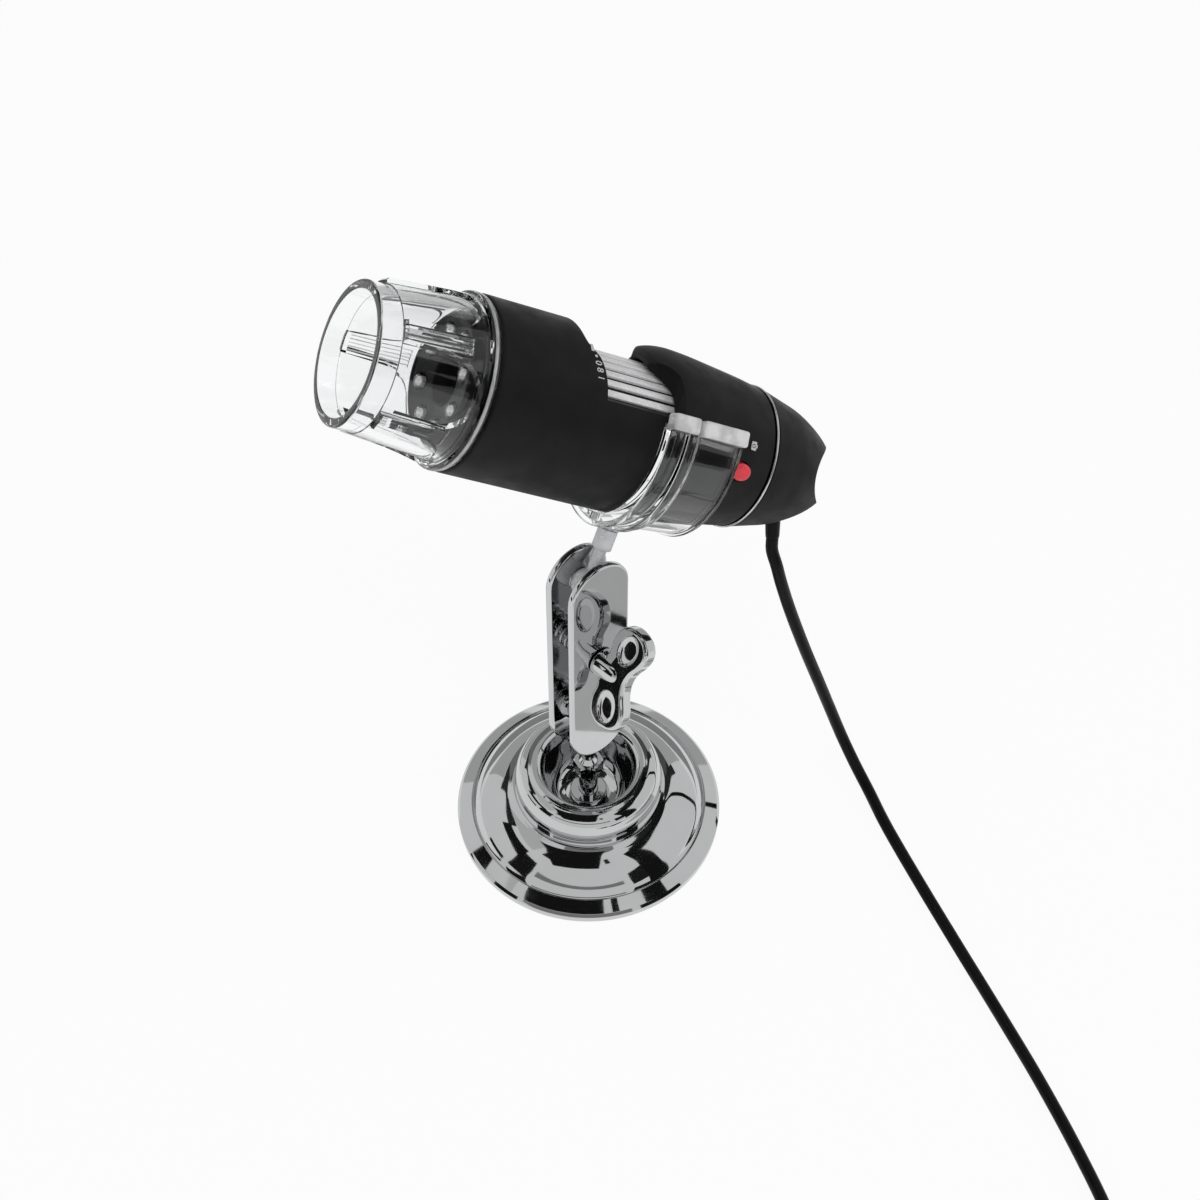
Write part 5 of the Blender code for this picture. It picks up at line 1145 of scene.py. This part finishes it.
class SCOPE_OT_cord(Operator):
    """Cord from the tail down to the table, its coil, the tie and the plug"""
    bl_idname = "scope.cord"
    bl_label = "Cord, coil and plug"

    def execute(self, context):
        radius = context.scene.scope_cord.cord_diameter / MM / 2
        tip = GLAND @ Vector((0, 0, RELIEF_END * MM)) / MM
        out = (GLAND.to_3x3() @ Vector((0, 0, 1))).normalized()
        coil, plug = coil_line(radius)
        back = (coil[0] - coil[1]).normalized()
        route = [tip, tip + out * 2.9] + [Vector(p) for p in CORD_ROUTE] + [coil[0] + back * 2.9, coil[0]]
        line = spaced([Vector(p) for p in flowing(route, 16)], 1.0)
        total = measured(line)
        ends = [round((len(line) - 1) * end / total) for end in (0.0, *CROSSING_ENDS, total)]
        for k, (first, last) in enumerate(zip(ends, ends[1:])):
            path = line[first:last + 1]
            ob = tube(f"cord_stretch_{k + 1}", path, radius, 24)
            ob.data.shade_smooth()
            ob.data.set_sharp_from_angle(angle=math.radians(50))
            ob.data.materials.append(look("cord"))
            metres = [p * MM for p in path]
            if k < len(CROSSINGS):
                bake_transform(ob)
            else:
                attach(ob, "base")
            if measured(metres) < SHORTEST:  # a stretch shorter than SHORTEST: nothing more is done with it
                continue
        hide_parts("cable_run")
        self.coil(coil, plug, radius)
        return {"FINISHED"}

    def coil(self, coil, plug, radius):
        """The coiled length with its tie and plug."""
        ob = tube("cord_coil", coil, radius, 16)
        dress(ob, "base", "cord_black", "cord", "cable_coil", limit=50)
        outer = COIL_MID + COIL_RAMP * COIL_PITCH / 2 + radius + 0.6
        inner = COIL_MID - (COIL_RAMP / 2 + 0.25) * COIL_PITCH - radius - 0.6
        top = COIL_LIFT + radius * 2 + COIL_PITCH + 0.3
        low = COIL_LIFT - 0.3
        upright = shift(*COIL_CENTRE) @ turn(135, "Z") @ UPRIGHT

        def loop(name, wall, low_bend, top_bend, half):
            """A rounded frame round one side of the coil, wider and higher by the wall."""
            corners = [(inner - wall, low - wall, low_bend), (outer + wall, low - wall, low_bend),
                       (outer + wall, top + wall, top_bend), (inner - wall, top + wall, top_bend)]
            return slab(name, corners, -half, half, upright)

        tie = loop("coil_tie", 0.4, 0.9, 1.6, 2.25)
        cut(tie, loop("tie_hole", 0.0, 0.6, 1.2, 4))
        dress(tie, "base", "cord_black", "rubber", "cable_tie", limit=35)
        pieces = [tie] + self.plug(plug)

    def plug(self, spot):
        """The plug's body with its relief, its shell, tongue and contacts."""
        relief_from = spot.x - 0.3
        body_from = relief_from - PLUG_RELIEF
        front = body_from - PLUG_LONG
        body = block("usb_plug_body", (PLUG_LONG, PLUG_WIDE, PLUG_HIGH), (0, 0, 0),
                     shift((body_from + front) / 2, spot.y, spot.z), 1.3)
        pointing = shift(relief_from, spot.y, spot.z) @ turn(-90, "Y")
        relief = [(0, 0.0), (1.87, 0.0, 0.2)]
        for i in range(5):
            z = 1.0 + i * 1.5
            r = 1.95 + 0.13 * i
            relief += [(r, z, 0.1), (r - 0.3, z + 0.15, 0.1), (r - 0.3, z + 0.5, 0.1), (r + 0.04, z + 0.65, 0.1)]
        relief += [(2.6, 8.6), (2.6, 10.5), (0, 10.5)]
        join(body, turned("plug_relief", relief, pointing, 48))
        shell_x = front - SHELL_OUT + SHELL_LONG / 2
        grips = [block(f"grip_{side}_{i}", (0.7, 9.0, 0.6),
                       (body_from - 5.0 - i * 1.8, spot.y, spot.z + side * PLUG_HIGH / 2), FOOT, 0.15)
                 for side in (-1, 1) for i in range(5)]
        cut(body, block("plug_seat", (18.6, 12.6, 5.1), (shell_x, spot.y, spot.z)), *grips)
        dress(body, "base", "housing_plastic", "inner_black", "plug_body", limit=35)
        shell = block("usb_plug_shell", (SHELL_LONG, SHELL_WIDE, SHELL_HIGH), (shell_x, spot.y, spot.z), FOOT, 0.35)
        latches = [block(f"latch_{side}_{across}", (2.0, 2.0, 1.0),
                         (front - 5.04, spot.y + across * SHELL_WIDE * 0.22, spot.z + side * SHELL_HIGH / 2))
                   for side in (-1, 1) for across in (-1, 1)]
        wall = 0.4
        bore = (SHELL_LONG, SHELL_WIDE - wall * 2, SHELL_HIGH - wall * 2)
        cut(shell, block("shell_bore", bore, (shell_x - wall, spot.y, spot.z), FOOT, 0.2), *latches)
        dress(shell, "base", "steel", "steel", "plug_shell", limit=35)
        tongue = block("usb_plug_tongue", (15.6, 10.6, 1.8), (shell_x, spot.y, spot.z + 0.65), FOOT, 0.2)
        dress(tongue, "base", "milky_plastic", "milky", "plug_tongue", limit=35)
        pins = [block(f"pin_{k}", (6.5, 1.1, 0.12), (shell_x - 3.6, spot.y - 3.5 + 2.33 * k, spot.z - 0.27))
                for k in range(4)]
        contacts = dress(group("usb_plug_contacts", pins), "base", "steel", "steel")
        return [body, shell, tongue, contacts]


# Stage
def seen_rays(tree):
    """1 for what the camera, a mirror or a clear piece looks at, 0 for the light that falls on the pieces."""
    path = node(tree, "LightPath")
    first = node(tree, "Math", (path.outputs["Is Camera Ray"], 0), (path.outputs["Is Glossy Ray"], 1))
    both = node(tree, "Math", (first.outputs["Value"], 0), (path.outputs["Is Transmission Ray"], 1))
    first.operation = both.operation = "MAXIMUM"
    return both.outputs["Value"]


def plain_stage_finish(name, colour, share):
    """A plain surface that the camera sees mostly as flat white, so that only a faint shadow is left."""
    mat = blank(bpy.data.materials, name)
    tree = mat.node_tree
    level = node(tree, "Math", (seen_rays(tree), 0))
    level.operation = "MULTIPLY"
    level.inputs[1].default_value = share
    plain = node(tree, "BsdfDiffuse", Color=(*colour, 1.0))
    white = node(tree, "Emission", Color=(1.0, 1.0, 1.0, 1.0), Strength=1.0)
    mix = node(tree, "MixShader", (level.outputs["Value"], "Fac"), (plain.outputs["BSDF"], 1),
               (white.outputs["Emission"], 2))
    node(tree, "OutputMaterial", (mix.outputs["Shader"], "Surface"))
    return mat


def card_finish(name, level):
    """An even grey glow that only mirrors and clear pieces show."""
    mat = blank(bpy.data.materials, name)
    glow = node(mat.node_tree, "Emission", Color=(level, level, level, 1.0), Strength=1.0)
    node(mat.node_tree, "OutputMaterial", (glow.outputs["Emission"], "Surface"))
    return mat


# Studio cards round the object: name, first and last direction and lowest and highest elevation in
# degrees, distance in metres, brightness
STUDIO_CARDS = [
    ("card_overhead", 0, 360, 80, 90, 1.3, 0.25),
    ("arc_right", -30, 44, 50, 62, 1.0, 0.01),
    ("arc_right_high", -20, 40, 60, 70, 1.05, 0.02),
    ("post_right_back", 43, 54, 18, 60, 1.0, 0.025),
    ("post_right_front", -41, -24, -9, 60, 1.02, 0.01),
    ("foot_right_front", -54, -40, 8, 33, 1.0, 0.015),
    ("post_back_left", 128, 146, 25, 42, 1.0, 0.03),
    ("bridge_left", 144, 174, 35.5, 45, 1.03, 0.02),
    ("bridge_left_low", 172, 206, 26, 39, 1.0, 0.01),
    ("post_left_front", 202, 220, 2, 34, 1.02, 0.012),
    ("rim_flag_left", 214, 229, 50, 60, 1.0, 0.012),
    ("rim_flag_front", 258, 284, 57, 63, 1.0, 0.012),
    ("rim_flag_right", 291, 297, 55, 63, 1.0, 0.012),
    ("high_flag_left", 196, 240, 63, 73, 1.0, 0.012),
    ("high_flag_front", 236, 264, 66, 80, 1.02, 0.012),
    ("band_front", 224, 300, 20, 29, 1.1, 0.25),
    ("panel_back_right", 54, 70, 20, 45, 1.1, 0.1),
    ("panel_back_left", 96, 130, 20, 47, 1.1, 0.2),
    ("wall_back", 48, 140, -9, 19, 0.36, 0.5),
    ("wall_right", -12, 47, -9, 28, 1.1, 0.8),
    ("near_left", 181, 198, 1.5, 10, 0.3, 0.01),
    ("panel_left", 150, 205, 46, 70, 1.2, 0.6),
    ("panel_back", 70, 118, 48, 72, 1.2, 0.5),
]
FAR, FAR_LIFT = 0.35, 0.06  # cards beyond the first distance stand the second higher, in metres

# Near cards: name, centre and half size in millimetres, brightness. Those at the floor lie flat.
NEAR_CARDS = [
    ("hood_flag", (-38.0, -78.0, 200.0), 66.0, 0.01),
    ("floor_card_back", (0.0, 78.0, 0.25), 90.0, 0.3),
    ("floor_card_front_right", (75.0, -22.0, 0.25), 40.0, 0.55),
]

# The photograph's camera: its place in metres, and its tilt from straight down in degrees
CAMERA_SPOT = (0.00256, -0.25592, 0.41411)
CAMERA_TILT = 37.22


class SCOPE_OT_stage(Operator):
    """White floor and surroundings, soft lamps, dark cards for the chrome, and the camera"""
    bl_idname = "scope.stage"
    bl_label = "Stage and camera"

    def execute(self, context):
        s = context.scene.scope_studio
        bm = bmesh.new()
        bmesh.ops.create_grid(bm, x_segments=1, y_segments=1, size=3000.0)
        floor = piece("studio_floor", bm, shift(0, 0, -0.06))
        floor.data.materials.append(plain_stage_finish("studio_floor", s.floor, 0.93))
        self.sky(context, s)
        self.studio_cards()
        self.near_cards()
        self.lamp("key_lamp", (0.0, -0.55, 1.12), (0.0, 0.0, 0.06), (1.1, 0.75), 4.2 * s.lamps)
        self.lamp("side_lamp", (0.95, -0.45, 0.5), (0.0, 0.0, 0.08), (0.35, 0.5), 1.6 * s.lamps)
        self.camera(context, s)
        return {"FINISHED"}

    def studio_cards(self):
        """Dark and grey cards, as in a studio, that polished and clear pieces mirror."""
        for name, first, last, low, high, away, level in STUDIO_CARDS:
            across, up = max(2, (last - first) // 6), max(2, (high - low) // 6)
            base = FAR_LIFT if away > FAR else 0.0
            bm = bmesh.new()
            rows = []
            for k in range(up + 1):
                rise = math.radians(low + (high - low) * k / up)
                reach = away * math.cos(rise)
                angles = [math.radians(first + (last - first) * i / across) for i in range(across + 1)]
                rows.append([bm.verts.new(Vector((reach * math.cos(a), reach * math.sin(a),
                                                  away * math.sin(rise) + base)) / MM) for a in angles])
            for a, b in zip(rows, rows[1:]):
                strip(bm, a, b, False)
            self.card(name, bm, level)

    def near_cards(self):
        """One card over the hood, leaning, and pale ones on the floor beside the foot."""
        for name, (x, y, z), size, level in NEAR_CARDS:
            deep, rise = (size / 2, 0.0) if z < 1.0 else (size, size / 2)
            bm = bmesh.new()
            bm.faces.new([bm.verts.new((x + size * side, y + deep * end, z + rise * end))
                          for side, end in ((-1, -1), (1, -1), (1, 1), (-1, 1))])
            self.card(name, bm, level).visible_transmission = False

    def card(self, name, bm, level):
        """A card that throws no light and no shadow, and that the camera doesn't see."""
        ob = piece(name, bm)
        ob.data.materials.append(card_finish(name, level))
        ob.visible_camera = ob.visible_diffuse = ob.visible_shadow = False
        return ob

    def sky(self, context, s):
        """White all round for the camera, and an even light for the pieces."""
        context.scene.world = blank(bpy.data.worlds, "studio_sky")
        tree = context.scene.world.node_tree
        even = node(tree, "Background", Strength=s.sky)
        white = node(tree, "Background", Strength=1.0)
        mix = node(tree, "MixShader", (seen_rays(tree), "Fac"), (even.outputs["Background"], 1),
                   (white.outputs["Background"], 2))
        node(tree, "OutputWorld", (mix.outputs["Shader"], "Surface"))

    def lamp(self, name, spot, target, size, power):
        """A soft lamp turned to its target, which chrome doesn't mirror."""
        data = bpy.data.lights.new(name, "AREA")
        data.shape = "RECTANGLE"
        data.size, data.size_y = size
        data.energy = power
        ob = placed(name, data)
        ob.location = spot
        ob.rotation_euler = (Vector(target) - Vector(spot)).to_track_quat("-Z", "Y").to_euler()
        ob.visible_glossy = False

    def camera(self, context, s):
        """The camera, at the photograph's place and angle."""
        data = bpy.data.cameras.new("studio_camera")
        data.lens = s.lens
        data.sensor_width = 36.0
        data.clip_start = 0.01
        data.clip_end = 20.0
        ob = placed("studio_camera", data)
        ob.location = CAMERA_SPOT
        ob.rotation_euler = (math.radians(CAMERA_TILT), 0.0, 0.0)
        context.scene.camera = ob
        context.scene.view_settings.view_transform = "Standard"


# Panel and registration
OPERATORS = (SCOPE_OT_stage, SCOPE_OT_cord, SCOPE_OT_foot, SCOPE_OT_stud, SCOPE_OT_plates, SCOPE_OT_screw,
             SCOPE_OT_wing_nut, SCOPE_OT_stem, SCOPE_OT_cradle, SCOPE_OT_sleeve, SCOPE_OT_housing, SCOPE_OT_tail,
             SCOPE_OT_wheel, SCOPE_OT_core, SCOPE_OT_lamps, SCOPE_OT_hood, SCOPE_OT_button)
GROUPS = {"scope_stand": StandSizes, "scope_barrel": BarrelSizes, "scope_cord": CordSizes,
          "scope_finishes": Finishes, "scope_studio": StudioSettings}


class SCOPE_PT_panel(Panel):
    """Sizes, colours and the steps that make the microscope's looks"""
    bl_idname = "SCOPE_PT_panel"
    bl_label = "USB microscope"
    bl_space_type = "VIEW_3D"
    bl_region_type = "UI"
    bl_category = "Microscope"

    def draw(self, context):
        for name, kind in GROUPS.items():
            box = self.layout.box()
            box.label(text=kind.__doc__)
            for field in kind.__annotations__:
                box.prop(getattr(context.scene, name), field)
        column = self.layout.column(align=True)
        for kind in OPERATORS:
            column.operator(kind.bl_idname)


def register():
    """Add the settings, the operators and the panel to Blender."""
    for kind in (*GROUPS.values(), *OPERATORS, SCOPE_PT_panel):
        bpy.utils.register_class(kind)
    for name, kind in GROUPS.items():
        setattr(bpy.types.Scene, name, PointerProperty(type=kind))


def unregister():
    """Take them away again."""
    for name in GROUPS:
        delattr(bpy.types.Scene, name)
    for kind in (SCOPE_PT_panel, *reversed(OPERATORS), *reversed(list(GROUPS.values()))):
        bpy.utils.unregister_class(kind)


def main():
    """Make every piece and the stage."""
    register()
    for kind in OPERATORS:
        folder, step = kind.bl_idname.split(".")
        getattr(getattr(bpy.ops, folder), step)()


if __name__ == "__main__":
    main()
